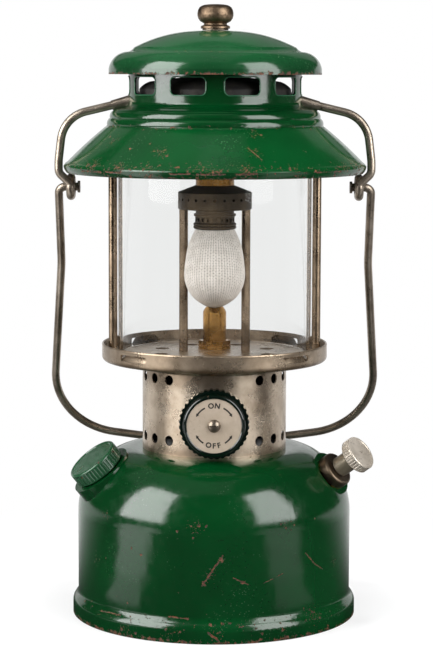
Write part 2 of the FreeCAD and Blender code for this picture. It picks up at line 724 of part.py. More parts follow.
def make_fount_body():
    body = new_body("fount_body")
    outer = tank_outline(Size(0.0, "0"))
    revolve(body, "tank_form", [(0, 0), (size.foot_radius, 0)] + outer + [(0, size.seat_height)])
    deep = size.flat_depth
    high = size.flat_depth
    flush = size.flat_depth * 0
    for name, frame, radius in (("filler", filler_frame, size.filler_flat_radius),
                                ("pump", pump_frame, size.pump_flat_radius)):
        core(body, f"{name}_flat", radius, -deep, flush, cut=False, at=frame)
        core(body, f"{name}_flat_face", radius, flush, high, at=frame)
    inner = tank_outline(size.tank_wall)
    below = -size.tank_wall
    revolve(body, "tank_room", [(0, below), (size.foot_radius - size.tank_wall, below)] + inner
            + [(0, size.seat_height - size.tank_wall)], cut=True)
    for name, frame, radius in (("filler", filler_frame, size.filler_flat_radius),
                                ("pump", pump_frame, size.pump_flat_radius)):
        core(body, f"{name}_flat_room", radius - size.tank_wall, -deep, -size.tank_wall, at=frame)
    core(body, "filler_hole", size.neck_radius, -deep, high, at=filler_frame)
    core(body, "pump_hole", size.barrel_radius, -deep, high, at=pump_frame)
    core(body, "outlet_hole", size.bush_radius, size.seat_height - high, size.seat_height + high)
    return keep(body, "fount_body")


def make_fount_bottom():
    rim = size.foot_radius - size.tank_wall
    inside = rim - size.tank_wall
    top = size.foot_height - size.bottom_sink
    under = top - size.tank_wall
    return lathe("fount_bottom", [
        (inside, 0),
        (rim, 0),
        (rim, top, dome_bulge(rim, size.bottom_rise)),
        (0, top + size.bottom_rise),
        (0, under + size.bottom_rise, -dome_bulge(inside, size.bottom_rise)),
        (inside, under),
    ])


make_fount_body()
make_fount_bottom()


# ---------------------------------------------------------------- filler

filler_gap = size.loose_clearance + 0.2
filler_ceiling = filler_gap + size.filler_cap_height - size.filler_cap_roof


def make_filler():
    neck = lathe("filler_neck", [
        (size.neck_bore, -5),
        (size.neck_radius, -5),
        (size.neck_radius, size.neck_height - 0.8),
        (size.neck_radius - 0.8, size.neck_height),
        (size.neck_bore, size.neck_height),
    ])
    neck.Placement = filler_frame
    body = new_body("filler_cap")
    top = filler_gap + size.filler_cap_height
    bore = size.neck_radius + size.loose_clearance
    revolve(body, "filler_cap_form", [
        (bore, filler_gap),
        (size.filler_cap_radius - 0.6, filler_gap),
        (size.filler_cap_radius, filler_gap + 0.6),
        (size.filler_cap_radius, top - 1.1, QUARTER),
        (size.filler_cap_radius - 1.1, top),
        (size.filler_cap_radius - 1.8, top),
        (size.filler_cap_radius - 2.2, top - 0.3),
        (0, top - 0.3),
        (0, filler_ceiling),
        (bore, filler_ceiling),
    ])
    flute(body, "filler_cap", size.filler_cap_radius + 0.35, Size(0.75, "0.75"),
          filler_gap + 0.9, top - 1.2, size.filler_flutes)
    keep(body, "filler_cap")
    body.Placement = filler_frame
    gasket = lathe("filler_gasket", [
        (3, filler_ceiling - size.gasket_thickness),
        (size.neck_radius, filler_ceiling - size.gasket_thickness),
        (size.neck_radius, filler_ceiling),
        (3, filler_ceiling),
    ])
    gasket.Placement = filler_frame


make_filler()


# ---------------------------------------------------------------- pump

gland_top = size.barrel_flange + size.gland_height
knob_foot = gland_top + size.loose_clearance
barrel_bore = size.barrel_radius - size.barrel_wall
plunger_foot = size.barrel_length - size.plunger_rest
rod_bore = size.plunger_radius + size.running_clearance
cup_roof = size.cup_length - plunger_foot


def make_pump():
    barrel = lathe("pump_barrel", [
        (size.check_valve_radius, -size.barrel_length),
        (size.barrel_radius, -size.barrel_length),
        (size.barrel_radius, 0),
        (size.gland_radius, 0),
        (size.gland_radius, size.barrel_flange),
        (barrel_bore, size.barrel_flange),
        (barrel_bore, size.barrel_wall - size.barrel_length),
        (size.check_valve_radius, size.barrel_wall - size.barrel_length),
    ])
    gland = lathe("pump_cap", [
        (rod_bore, -size.gland_plug),
        (barrel_bore, -size.gland_plug),
        (barrel_bore, size.barrel_flange),
        (size.gland_radius, size.barrel_flange),
        (size.gland_radius, gland_top - 1.5, QUARTER),
        (size.gland_radius - 1.5, gland_top),
        (rod_bore + 2, gland_top),
        (rod_bore, gland_top - 1),
    ])
    valve_top = size.barrel_wall - size.barrel_length
    valve_low = valve_top - size.check_valve_length
    stem_bore = size.air_stem_radius + size.running_clearance
    check_valve = lathe("check_valve", [
        (0, valve_low),
        (size.check_valve_radius, valve_low),
        (size.check_valve_radius, valve_top),
        (stem_bore, valve_top),
        (stem_bore, valve_low + 2),
        (0, valve_low + 2),
    ])
    air_stem = lathe("air_stem", [
        (0, valve_low + 2 + size.loose_clearance),
        (size.air_stem_radius, valve_low + 2 + size.loose_clearance),
        (size.air_stem_radius, 1.5),
        (size.air_stem_radius - 0.5, 2),
        (0, 2),
    ])
    rod_top = knob_foot + size.pump_hub_length - 3
    rod = lathe("pump_rod", [
        (size.plunger_bore, -plunger_foot),
        (size.plunger_radius, -plunger_foot),
        (size.plunger_radius, rod_top),
        (size.plunger_bore, rod_top),
    ])
    cup_skin = barrel_bore - size.running_clearance
    cup = lathe("pump_cup", [
        (cup_skin - 1.2, -plunger_foot),
        (cup_skin, -plunger_foot),
        (cup_skin, cup_roof - 1.2, QUARTER),
        (cup_skin - 1.2, cup_roof),
        (size.plunger_radius, cup_roof),
        (size.plunger_radius, cup_roof - 1.4),
        (cup_skin - 1.2, cup_roof - 1.4),
    ])
    washer = lathe("pump_cup_washer", [
        (size.plunger_radius, cup_roof),
        (cup_skin - 1.6, cup_roof),
        (cup_skin - 1.6, cup_roof + 1.2),
        (size.plunger_radius, cup_roof + 1.2),
    ])
    knob = new_body("pump_knob")
    disc_foot = knob_foot + size.pump_hub_length
    top = disc_foot + size.pump_knob_thickness
    rim = size.pump_knob_radius
    revolve(knob, "pump_knob_form", [
        (size.plunger_radius, knob_foot),
        (size.pump_hub_radius - 0.6, knob_foot),
        (size.pump_hub_radius, knob_foot + 0.6),
        (size.pump_hub_radius, disc_foot),
        (rim - 0.7, disc_foot),
        (rim, disc_foot + 0.7),
        (rim, top - 0.9, QUARTER),
        (rim - 0.9, top),
        (rim - 1.5, top),
        (rim - 1.8, top - 0.25),
        (0.5, top - 0.25),
        (0.5, top - 1.4),
        (0, top - 1.4),
        (0, rod_top),
        (size.plunger_radius, rod_top),
    ])
    flute(knob, "pump_knob", rim + 0.3, Size(0.65, "0.65"), disc_foot + 1, top - 1.1, size.pump_flutes)
    keep(knob, "pump_knob")
    for item in (barrel, gland, check_valve, air_stem, rod, cup, washer, knob):
        item.Placement = pump_frame


make_pump()


# ---------------------------------------------------------------- fuel way and valve

bush_low = size.seat_height - size.bush_length
tank_floor = size.foot_height - size.bottom_sink + size.bottom_rise
collar_floor = size.seat_height + size.collar_wall
hex_top = collar_floor + size.valve_hex_height
block_low = valve_height - size.valve_block_height / 2
block_high = valve_height + size.valve_block_height / 2
boss_radius = size.generator_radius + 1.4
boss_top = block_high + 4
stem_way = size.stem_radius + size.running_clearance
room_front = size.generator_back - size.cam_room_length / 2
room_back = size.generator_back + size.cam_room_length / 2
knob_back = size.collar_radius + size.knob_standoff
knob_front = knob_back + size.knob_depth
dial_back = knob_front - size.dial_recess - size.dial_thickness
neck_length = 3


def make_fuel_way():
    lathe("outlet_bush", [
        (size.pickup_radius, bush_low),
        (size.bush_radius, bush_low),
        (size.bush_radius, size.seat_height),
        (size.bush_bore, size.seat_height),
        (size.bush_bore, bush_low + 4),
        (size.pickup_radius, bush_low + 4),
    ])
    foot_low = tank_floor + size.loose_clearance
    lathe("pickup_tube", [
        (size.pickup_bore, foot_low + 1.2),
        (size.pickup_radius, foot_low + 1.2),
        (size.pickup_radius, bush_low + 4),
        (size.pickup_bore, bush_low + 4),
    ])
    lathe("pickup_foot", [
        (0, foot_low),
        (size.pickup_foot_radius, foot_low),
        (size.pickup_foot_radius, foot_low + size.pickup_foot_height),
        (size.pickup_radius, foot_low + size.pickup_foot_height),
        (size.pickup_radius, foot_low + 1.2),
        (0, foot_low + 1.2),
    ])


def make_valve_body():
    spigot = cylinder("valve_spigot", size.bush_bore, size.collar_wall + 5, z=size.seat_height - 5)
    nut = hexagon("valve_hexagon", size.valve_flats, size.valve_hex_height, z=collar_floor)
    column = cylinder("valve_column", size.column_radius, block_low - hex_top, z=hex_top)
    half = size.valve_half_width
    body = block("valve_block", (-half, -size.valve_front, block_low), (half, size.valve_back, block_high))
    neck = cylinder("valve_neck", size.stem_radius * 2, size.valve_front + neck_length,
                    z=valve_height, turn=valve_turn)
    boss = cylinder("generator_boss", boss_radius, boss_top - block_low - 1,
                    y=size.generator_back, z=block_low + 1)
    solid = fuse("valve_casting", [spigot, nut, column, body, neck, boss])
    stem_hole = cylinder("stem_hole", stem_way, size.valve_front + neck_length + room_back + 1,
                         y=room_back, z=valve_height, turn=valve_turn)
    room = cylinder("cam_room", size.cam_room_radius, size.valve_back - room_front,
                    y=size.valve_back, z=valve_height, turn=valve_turn)
    rod_hole = cylinder("cleaner_hole", size.cleaner_radius + size.loose_clearance,
                        boss_top - valve_height + 1, y=size.generator_back, z=valve_height)
    keep(cut_away("valve_body", solid, [stem_hole, room, rod_hole]), "valve_body")
    plug = cylinder("plug_thread", size.cam_room_radius, size.valve_back - room_back,
                    y=size.valve_back, z=valve_height, turn=valve_turn)
    head = hexagon("plug_head", size.valve_half_width * 2 - 2, 3,
                   y=size.valve_back + 3, z=valve_height, turn=valve_turn)
    keep(fuse("valve_plug", [plug, head]), "valve_plug")
    packing = hexagon("packing_hexagon", size.packing_flats, size.packing_height,
                      y=-size.valve_front - neck_length, z=valve_height, turn=valve_turn)
    way = cylinder("packing_way", stem_way, size.packing_height + 2,
                   y=1 - size.valve_front - neck_length, z=valve_height, turn=valve_turn)
    keep(cut_away("packing_nut", packing, [way]), "packing_nut")


def make_valve_knob():
    stem_back = -size.generator_back - size.cam_thickness / 2 - 0.6
    stem = lathe("valve_stem", [
        (0, stem_back),
        (size.stem_radius, stem_back),
        (size.stem_radius, dial_back),
        (1.5, dial_back),
        (1.5, dial_back - 6),
        (0, dial_back - 6),
    ])
    knob = new_body("valve_knob")
    rim = knob_back + size.knob_rim
    neck = size.dial_radius + 2.1
    revolve(knob, "valve_knob_form", [
        (size.stem_radius, knob_back),
        (6.5, knob_back),
        (6.5, knob_back + 1.5),
        (size.dial_radius, knob_back + 1.5),
        (size.dial_radius + 0.6, knob_back),
        (size.knob_radius - 0.8, knob_back),
        (size.knob_radius, knob_back + 0.8),
        (size.knob_radius, rim - 1),
        (size.knob_radius - 0.6, rim),
        (neck, rim, -0.3),
        (neck, rim + 0.6),
        (neck, knob_front - 1.6, QUARTER),
        (neck - 1.6, knob_front),
        (size.dial_radius, knob_front - 0.3),
        (size.dial_radius, dial_back),
        (size.stem_radius, dial_back),
    ])
    flute(knob, "valve_knob", size.knob_radius + 0.5, Size(1.15, "1.15"), knob_back, rim, size.knob_scallops)
    keep(knob, "valve_knob")
    dial_front = dial_back + size.dial_thickness
    dial = lathe("knob_dial", [
        (1.5, dial_back),
        (size.dial_radius, dial_back),
        (size.dial_radius, dial_front),
        (1.5, dial_front),
    ])
    head_top = dial_front + size.screw_head_height
    screw = new_body("knob_screw")
    revolve(screw, "knob_screw_form", [
        (0, dial_back - 6),
        (1.5, dial_back - 6),
        (1.5, dial_front),
        (size.screw_head_radius, dial_front),
        (size.screw_head_radius, dial_front + 0.6,
         dome_bulge(size.screw_head_radius, size.screw_head_height - 0.6)),
        (0, head_top),
    ])
    slot_floor = head_top - size.screw_slot_depth
    slot = new_sketch(screw, "screw_slot", "XY_Plane",
                      Placement(Vector(0, 0, number(slot_floor)), Rotation()))
    half = size.screw_slot_width / 2
    end = size.screw_head_radius + 1
    draw_outline(slot, [(-end, -half), (end, -half), (end, half), (-end, half)])
    pocket(screw, "screw_slot_cut", slot, size.screw_slot_depth + 1)
    keep(screw, "knob_screw")
    for item in (stem, knob, dial, screw):
        item.Placement = valve_frame


def snail_point(radius, angle):
    """A corner of the snail cam, at an angle from the stem frame's X axis."""
    return (radius * cosine(angle), radius * sine(angle))


def make_cleaner():
    cam = new_body("cleaner_cam")
    low = size.cam_high - size.cam_lift
    back = size.generator_back + size.cam_thickness / 2
    sketch = new_sketch(cam, "snail", "XY_Plane", Placement(Vector(0, 0, -number(back)), Rotation()))
    quarter_lift = size.cam_lift / 3
    draw_outline(sketch, [
        snail_point(size.cam_high, 90) + (math.tan(math.radians(30 / 4)),),
        snail_point(size.cam_high, 120),
        snail_point(low, 165) + (math.tan(math.radians(15 / 4)),),
        snail_point(low, 180) + (QUARTER,),
        snail_point(low + quarter_lift, 270) + (QUARTER,),
        snail_point(size.cam_high - quarter_lift, 0) + (QUARTER,),
    ])
    pad = cam.newObject("PartDesign::Pad", "snail_pad")
    pad.Profile = sketch
    bind(pad, "Length", size.cam_thickness)
    cam.Tip = pad
    core(cam, "snail_bore", size.stem_radius, -size.generator_back - size.cam_thickness,
         size.cam_thickness - size.generator_back)
    keep(cam, "cleaner_cam")
    cam.Placement = valve_frame
    foot = valve_height + size.cam_high + size.thread_clearance
    needle_top = size.generator_top + size.jet_height + 0.2
    rod_top = needle_top - size.needle_length
    rod = lathe("cleaner_rod", [
        (0, foot),
        (size.cleaner_radius, foot),
        (size.cleaner_radius, rod_top - 1),
        (size.needle_radius, rod_top),
        (size.needle_radius, needle_top),
        (0, needle_top),
    ])
    place(rod, y=size.generator_back)


make_fuel_way()
make_valve_body()
make_valve_knob()
make_cleaner()


# ---------------------------------------------------------------- collar and tray

floor_under = size.floor_height - size.tray_wall


def make_collar():
    body = new_body("collar")
    wall = size.collar_wall
    bore = size.bush_bore + 0.2
    revolve(body, "collar_form", [
        (bore, size.seat_height),
        (size.collar_radius, size.seat_height),
        (size.collar_radius, size.collar_top, -0.3),
        (size.collar_lip_radius, size.collar_lip_height, 0.3),
        (size.collar_lip_radius, size.collar_lip_height + 1),
        (size.collar_seat_radius, floor_under),
        (size.collar_seat_radius - 1.6, floor_under),
        (size.collar_lip_radius - 1, size.collar_lip_height + 1, 0.2),
        (size.collar_radius - wall, size.collar_top + 0.4),
        (size.collar_radius - wall, collar_floor),
        (bore, collar_floor),
    ])
    inside = size.collar_radius - wall - 1
    holes = new_sketch(body, "air_holes", "XZ_Plane", outward(size.air_hole_start, inside))
    draw_circle(holes, 0, size.air_hole_low, size.air_hole_radius)
    draw_circle(holes, 0, size.air_hole_high, size.air_hole_radius)
    cut = pocket(body, "air_hole_pair", holes, wall + 2)
    around(body, "air_hole_rows", cut, size.air_hole_count, FULL_TURN - size.air_hole_start * 2)
    stem_gap = new_sketch(body, "stem_gap", "XZ_Plane")
    draw_circle(stem_gap, 0, valve_height, size.stem_radius * 2)
    pocket(body, "stem_gap_cut", stem_gap, size.collar_radius + 2)
    keep(body, "collar")


def make_tray():
    body = new_body("tray")
    wall = size.tray_wall
    corner = size.tray_corner
    inner_corner = corner - wall
    revolve(body, "tray_form", [
        (0, floor_under),
        (size.floor_radius - wall, floor_under),
        (size.floor_radius - wall, size.tray_bottom),
        (size.tray_radius - corner, size.tray_bottom, QUARTER),
        (size.tray_radius, size.tray_bottom + corner),
        (size.tray_radius, size.tray_top - 1.4, 0.2),
        (size.tray_radius, size.tray_top - 0.5, QUARTER),
        (size.tray_radius - 0.5, size.tray_top),
        (size.tray_radius - wall, size.tray_top - 0.3),
        (size.tray_radius - wall, size.tray_bottom + corner, -QUARTER),
        (size.tray_radius - wall - inner_corner, size.tray_bottom + wall),
        (size.floor_radius, size.tray_bottom + wall),
        (size.floor_radius, size.floor_height - 0.4, QUARTER),
        (size.floor_radius - 0.4, size.floor_height),
        (0, size.floor_height),
    ])
    slot = new_sketch(body, "air_slot", "XZ_Plane", outward(45, size.floor_radius + 0.7))
    draw_outline(slot, rounded_box(-size.slot_width / 2, size.slot_centre - size.slot_height / 2,
                                   size.slot_width / 2, size.slot_centre + size.slot_height / 2,
                                   size.slot_height / 3))
    slot_cut = pocket(body, "air_slot_cut", slot, size.slot_width / 2)
    around(body, "air_slots", slot_cut, 4)
    floor = new_sketch(body, "floor_holes", "XY_Plane",
                       Placement(Vector(0, 0, number(size.floor_height + 1)), Rotation()))
    for step in range(8):
        angle = 22.5 + 45 * step
        draw_circle(floor, size.floor_hole_reach * cosine(angle), size.floor_hole_reach * sine(angle),
                    size.floor_hole_radius)
    draw_circle(floor, 0, size.generator_back, size.generator_radius)
    for side in (-1, 1):
        draw_circle(floor, side * size.post_reach, 0, size.tenon_radius)
        draw_circle(floor, side * size.burner_post_reach, 0, size.tenon_radius)
    pocket(body, "floor_holes_cut", floor, size.tray_wall + 2, reversed_way=False)
    keep(body, "tray")


make_collar()
make_tray()


# ---------------------------------------------------------------- posts, ring and globe

cone_slope = (size.cone_foot_radius - size.cone_top_radius) / (size.cone_top_height - size.cone_foot_height)
cone_across = root(1 + cone_slope * cone_slope)
ring_radius = (size.cone_foot_radius - (size.ring_height - size.cone_foot_height) * cone_slope
               - (size.hood_wall + size.loose_clearance) * cone_across)
ring_under = size.ring_height - size.ring_thickness


def make_post(label, x, low_tenon, high, high_tenon):
    """A round post on the tray's floor, with a thinner tenon at each end."""
    post = lathe(label, [
        (0, size.floor_height - low_tenon),
        (size.tenon_radius, size.floor_height - low_tenon),
        (size.tenon_radius, size.floor_height),
        (size.post_radius, size.floor_height),
        (size.post_radius, high),
        (size.tenon_radius, high),
        (size.tenon_radius, high + high_tenon),
        (0, high + high_tenon),
    ])
    place(post, x=x)


def make_nut_pair(label, reach, low):
    """Two hexagon nuts on the tenons of a pair of posts."""
    nuts = []
    for side in (-1, 1):
        nut = hexagon(f"{label}_hexagon", size.post_nut_flats, size.post_nut_height, x=side * reach, z=low)
        hole = cylinder(f"{label}_hole", size.tenon_radius, size.post_nut_height + 2,
                        x=side * reach, z=low - 1)
        nuts.append(cut_away(f"{label}_nut", nut, [hole]))
    pair = doc.addObject("Part::Compound", label)
    pair.Links = nuts
    keep(pair, label)


def make_posts_and_globe():
    outer_tenon = size.ring_thickness + size.post_nut_height + 0.6
    floor_tenon = size.tray_wall + size.post_nut_height + 0.6
    for side, word in ((-1, "left"), (1, "right")):
        make_post(f"outer_post_{word}", side * size.post_reach, size.tray_wall, ring_under, outer_tenon)
        make_post(f"burner_post_{word}", side * size.burner_post_reach, floor_tenon, size.drum_bottom,
                  size.burner_wall)
    make_nut_pair("ring_nuts", size.post_reach, size.ring_height)
    make_nut_pair("burner_post_nuts", size.burner_post_reach, floor_under - size.post_nut_height)
    glass_bore = size.globe_radius - size.globe_wall
    lip = glass_bore - 0.4
    ring = new_body("top_ring")
    revolve(ring, "ring_form", [
        (lip - size.ring_thickness, ring_under - size.ring_lip),
        (lip, ring_under - size.ring_lip),
        (lip, ring_under),
        (ring_radius, ring_under),
        (ring_radius, size.ring_height),
        (lip - size.ring_thickness, size.ring_height),
    ])
    holes = new_sketch(ring, "post_holes", "XY_Plane",
                       Placement(Vector(0, 0, number(size.ring_height + 1)), Rotation()))
    for side in (-1, 1):
        draw_circle(holes, side * size.post_reach, 0, size.tenon_radius)
    pocket(ring, "post_holes_cut", holes, size.ring_thickness + 2, reversed_way=False)
    keep(ring, "top_ring")
    lathe("globe", [
        (glass_bore + 0.6, size.floor_height),
        (size.globe_radius - 0.6, size.floor_height, QUARTER),
        (size.globe_radius, size.floor_height + 0.6),
        (size.globe_radius, ring_under - size.loose_clearance - 0.6, QUARTER),
        (size.globe_radius - 0.6, ring_under - size.loose_clearance),
        (glass_bore + 0.6, ring_under - size.loose_clearance, QUARTER),
        (glass_bore, ring_under - size.loose_clearance - 0.6),
        (glass_bore, size.floor_height + 0.6, QUARTER),
    ])


make_posts_and_globe()


# ---------------------------------------------------------------- burner

def make_generator():
    tube = lathe("generator_tube", [
        (size.generator_bore, boss_top),
        (size.generator_radius, boss_top),
        (size.generator_radius, size.generator_shoulder, 0.15),
        (size.generator_thin_radius, size.generator_shoulder + 4),
        (size.generator_thin_radius, size.generator_top),
        (size.generator_bore, size.generator_top),
    ])
    place(tube, y=size.generator_back)
    flange = cylinder("generator_flange", size.generator_nut_radius, 2,
                      y=size.generator_back, z=size.floor_height)
    nut = hexagon("generator_hexagon", size.generator_nut_flats, size.generator_nut_height,
                  y=size.generator_back, z=size.floor_height)
    bore = cylinder("generator_nut_bore", size.generator_radius, size.generator_nut_height + 2,
                    y=size.generator_back, z=size.floor_height - 1)
    keep(cut_away("generator_nut", fuse("generator_nut_form", [flange, nut]), [bore]), "generator_nut")
    jet_top = size.generator_top + size.jet_height
    jet = lathe("gas_jet", [
        (size.cleaner_radius + 0.4, size.generator_top),
        (size.jet_radius, size.generator_top),
        (size.jet_radius, jet_top - 2),
        (size.jet_radius - 1.4, jet_top),
        (size.needle_radius + 0.15, jet_top),
        (size.needle_radius + 0.15, jet_top - 1.2),
        (size.cleaner_radius + 0.4, jet_top - 2),
    ])
    place(jet, y=size.generator_back)


def make_drum():
    body = new_body("burner_drum")
    wall = size.burner_wall
    radius = size.drum_radius
    revolve(body, "drum_form", [
        (0, size.drum_bottom),
        (radius - 0.6, size.drum_bottom, QUARTER),
        (radius, size.drum_bottom + 0.6),
        (radius, size.drum_top - 0.6, QUARTER),
        (radius - 0.6, size.drum_top),
        (size.chamber_radius, size.drum_cone_top),
        (size.chamber_radius, size.drum_cone_top - wall),
        (radius - wall, size.drum_top - wall),
        (radius - wall, size.drum_bottom + wall),
        (0, size.drum_bottom + wall),
    ])
    holes = new_sketch(body, "drum_holes", "XY_Plane",
                       Placement(Vector(0, 0, number(size.drum_bottom + wall + 1)), Rotation()))
    draw_circle(holes, 0, size.generator_back, size.generator_thin_radius)
    draw_circle(holes, 0, -size.mantle_forward, size.nozzle_bore)
    for side in (-1, 1):
        draw_circle(holes, side * size.burner_post_reach, 0, size.tenon_radius)
    pocket(body, "drum_holes_cut", holes, wall + 2, reversed_way=False)
    air = new_sketch(body, "drum_air_hole", "XZ_Plane", outward(0, radius - wall - 1))
    draw_circle(air, 0, (size.drum_bottom + size.drum_top) / 2 + 0.8, size.drum_hole_radius)
    cut = pocket(body, "drum_air_hole_cut", air, wall + 2)
    around(body, "drum_air_holes", cut, size.drum_hole_count)
    keep(body, "burner_drum")
    lathe("mixing_chamber", [
        (size.chamber_radius - wall, size.drum_top - 1),
        (size.chamber_radius, size.drum_top - 1),
        (size.chamber_radius, size.chamber_top - 1, QUARTER),
        (size.chamber_radius - 1, size.chamber_top),
        (size.stud_radius, size.chamber_top),
        (size.stud_radius, size.chamber_top - wall),
        (size.chamber_radius - wall, size.chamber_top - wall),
    ])


def make_nozzle_and_mantle():
    body = new_body("burner_nozzle")
    flange = size.nozzle_flange_height
    radius = size.nozzle_radius
    lip_top = size.nozzle_lip_height + size.nozzle_lip_thickness
    revolve(body, "nozzle_form", [
        (size.nozzle_bore, flange - size.nozzle_mouth_length),
        (size.nozzle_mouth_radius, flange - size.nozzle_mouth_length),
        (size.nozzle_mouth_radius, flange),
        (size.nozzle_bead_radius, flange, 0.6),
        (size.nozzle_bead_radius, flange + size.nozzle_bead_height, 0.6),
        (size.nozzle_bead_radius, flange + size.nozzle_bead_height * 2),
        (radius, flange + size.nozzle_bead_height * 2 + 0.3),
        (radius, size.nozzle_lip_height - 0.3),
        (size.nozzle_lip_radius, size.nozzle_lip_height),
        (size.nozzle_lip_radius, lip_top),
        (radius - 0.3, lip_top),
        (radius - 0.3, size.drum_bottom),
        (size.nozzle_bore, size.drum_bottom),
    ])
    hole = new_sketch(body, "nozzle_hole", "XZ_Plane", outward(0, radius - 1.2))
    draw_circle(hole, 0, size.nozzle_hole_height, size.nozzle_hole_radius)
    cut = pocket(body, "nozzle_hole_cut", hole, size.nozzle_bead_radius - size.nozzle_mouth_radius)
    around(body, "nozzle_holes", cut, size.nozzle_hole_count)
    keep(body, "burner_nozzle")
    place(body, y=-size.mantle_forward)
    wall = size.mantle_wall
    neck_bore = size.nozzle_mouth_radius + size.loose_clearance
    lower = size.mantle_radius * 0.62
    lower_rise = (size.mantle_waist - size.mantle_bottom) * 0.13
    mantle = lathe("mantle", [
        (0, size.mantle_bottom, dome_bulge(lower, lower_rise)),
        (lower, size.mantle_bottom + lower_rise, 0.27),
        (size.mantle_radius, size.mantle_waist, 0.13),
        (size.mantle_neck_radius, flange - size.loose_clearance),
        (neck_bore, flange - size.loose_clearance),
        (neck_bore, flange - 5, -0.13),
        (size.mantle_radius - wall, size.mantle_waist, -0.27),
        (lower - wall * 0.5, size.mantle_bottom + lower_rise + wall,
         -dome_bulge(lower - wall * 0.5, lower_rise)),
        (0, size.mantle_bottom + wall),
    ])
    place(mantle, y=-size.mantle_forward)


make_generator()
make_drum()
make_nozzle_and_mantle()


# ---------------------------------------------------------------- hood, cap and ball nut

eye_radius = size.bail_wire_radius + size.loose_clearance + size.eye_wire_radius
ferrule_inner = size.band_radius - 3
ferrule_turns = (("left", -1, Rotation(Vector(0, 1, 0), -90 - number(size.ear_slope))),
                 ("right", 1, Rotation(Vector(0, 1, 0), 90 + number(size.ear_slope))))


def ear_axis(reach):
    """Height of the ears' first run at a distance from the middle."""
    return size.ear_height + (size.band_radius - reach) * tangent(size.ear_slope)


def make_hood():
    body = new_body("hood")
    wall = size.hood_wall
    across = wall * cone_across
    bead = size.bead_radius
    bead_high = size.bead_radius - size.bead_taper * 2
    bead_top = size.bead_foot + size.bead_pitch * 2
    band_top = size.groove_height - wall
    ledge_inner = size.band_radius + 3.1
    revolve(body, "hood_form", [
        (size.brim_lip_radius, size.brim_lip_height, 0.2),
        (size.brim_radius, size.brim_height, 0.2),
        (size.cone_foot_radius, size.cone_foot_height, 0.03),
        (size.cone_top_radius, size.cone_top_height, -0.25),
        (bead, size.bead_foot, 0.3),
        (bead - size.bead_taper, size.bead_foot + size.bead_pitch, 0.3),
        (bead_high, bead_top, 0.3),
        (size.ledge_radius, size.ledge_height),
        (ledge_inner, size.ledge_height + 1, -0.3),
        (size.band_radius, size.band_foot),
        (size.band_radius, band_top),
        (size.band_radius - wall, band_top),
        (size.band_radius - wall, size.band_foot - 0.4, 0.3),
        (ledge_inner - 0.5, size.ledge_height + 1 - wall),
        (size.ledge_radius - 0.5, size.ledge_height - wall, -0.3),
        (bead_high - wall, bead_top - 0.6),
        (bead - wall, size.bead_foot + 0.4, 0.2),
        (size.cone_top_radius - across, size.cone_top_height, -0.03),
        (size.cone_foot_radius - across, size.cone_foot_height, -0.2),
        (size.brim_radius - wall, size.brim_height, -0.2),
        (size.brim_lip_radius - wall, size.brim_lip_height),
    ])
    window = new_sketch(body, "window", "XZ_Plane", outward(18, size.band_radius - size.window_room / 2))
    half = size.window_width / 2
    draw_outline(window, rounded_box(-half, size.window_bottom, half, size.window_top, size.window_corner))
    cut = pocket(body, "window_cut", window, size.window_room)
    around(body, "windows", cut, size.window_count)
    along = cosine(size.ear_slope)
    for word, side, turn in ferrule_turns:
        frame = Placement(Vector(0, -number(eye_radius), number(ear_axis(0))), turn)
        taper_hole(body, f"ferrule_hole_{word}", size.ferrule_radius, size.ferrule_tip_radius,
                   ferrule_inner / along, size.ferrule_outer / along, frame)
    keep(body, "hood")


def make_cap():
    wall = size.hood_wall
    hole = size.stud_radius + size.loose_clearance
    top = size.cap_top_height
    lathe("ventilator_cap", [
        (hole, top - wall),
        (size.cap_top_radius, top - wall, -0.12),
        (size.dome_radius - 0.4, size.dome_height - wall, 0.2),
        (size.groove_radius - 0.3, size.groove_height - wall, -0.36),
        (size.cap_radius - wall, size.cap_roll_height - 0.4),
        (size.cap_radius - wall, size.cap_bottom),
        (size.cap_radius, size.cap_bottom),
        (size.cap_radius, size.cap_roll_height, 0.36),
        (size.groove_radius, size.groove_height, -0.2),
        (size.dome_radius, size.dome_height, 0.12),
        (size.cap_top_radius, top),
        (hole, top),
    ])
    baffle = new_body("vent_baffle")
    thin = size.baffle_wall
    edge = size.baffle_height
    shoulder = edge + size.baffle_shoulder_rise
    crown = edge + size.baffle_rise
    revolve(baffle, "baffle_form", [
        (size.baffle_radius - thin, edge),
        (size.baffle_radius, edge),
        (size.baffle_radius, edge + size.baffle_side, 0.15),
        (size.baffle_shoulder_radius, shoulder),
        (hole, crown),
        (hole, crown - thin),
        (size.baffle_shoulder_radius - 0.3, shoulder - thin, -0.15),
        (size.baffle_radius - thin, edge + size.baffle_side - 0.3),
    ])
    band_bore = size.band_radius - wall
    half = size.baffle_tab_width / 2
    reach = root(band_bore * band_bore - half * half)
    tab = new_sketch(baffle, "tab", "XY_Plane", Placement(Vector(0, 0, number(edge)), Rotation()))
    draw_outline(tab, [
        (-half, size.baffle_radius - 2),
        (half, size.baffle_radius - 2),
        (half, reach),
        (-half, reach),
    ])
    pad = baffle.newObject("PartDesign::Pad", "tab_pad")
    pad.Profile = tab
    bind(pad, "Length", thin)
    around(baffle, "tabs", pad, 3)
    keep(baffle, "vent_baffle")


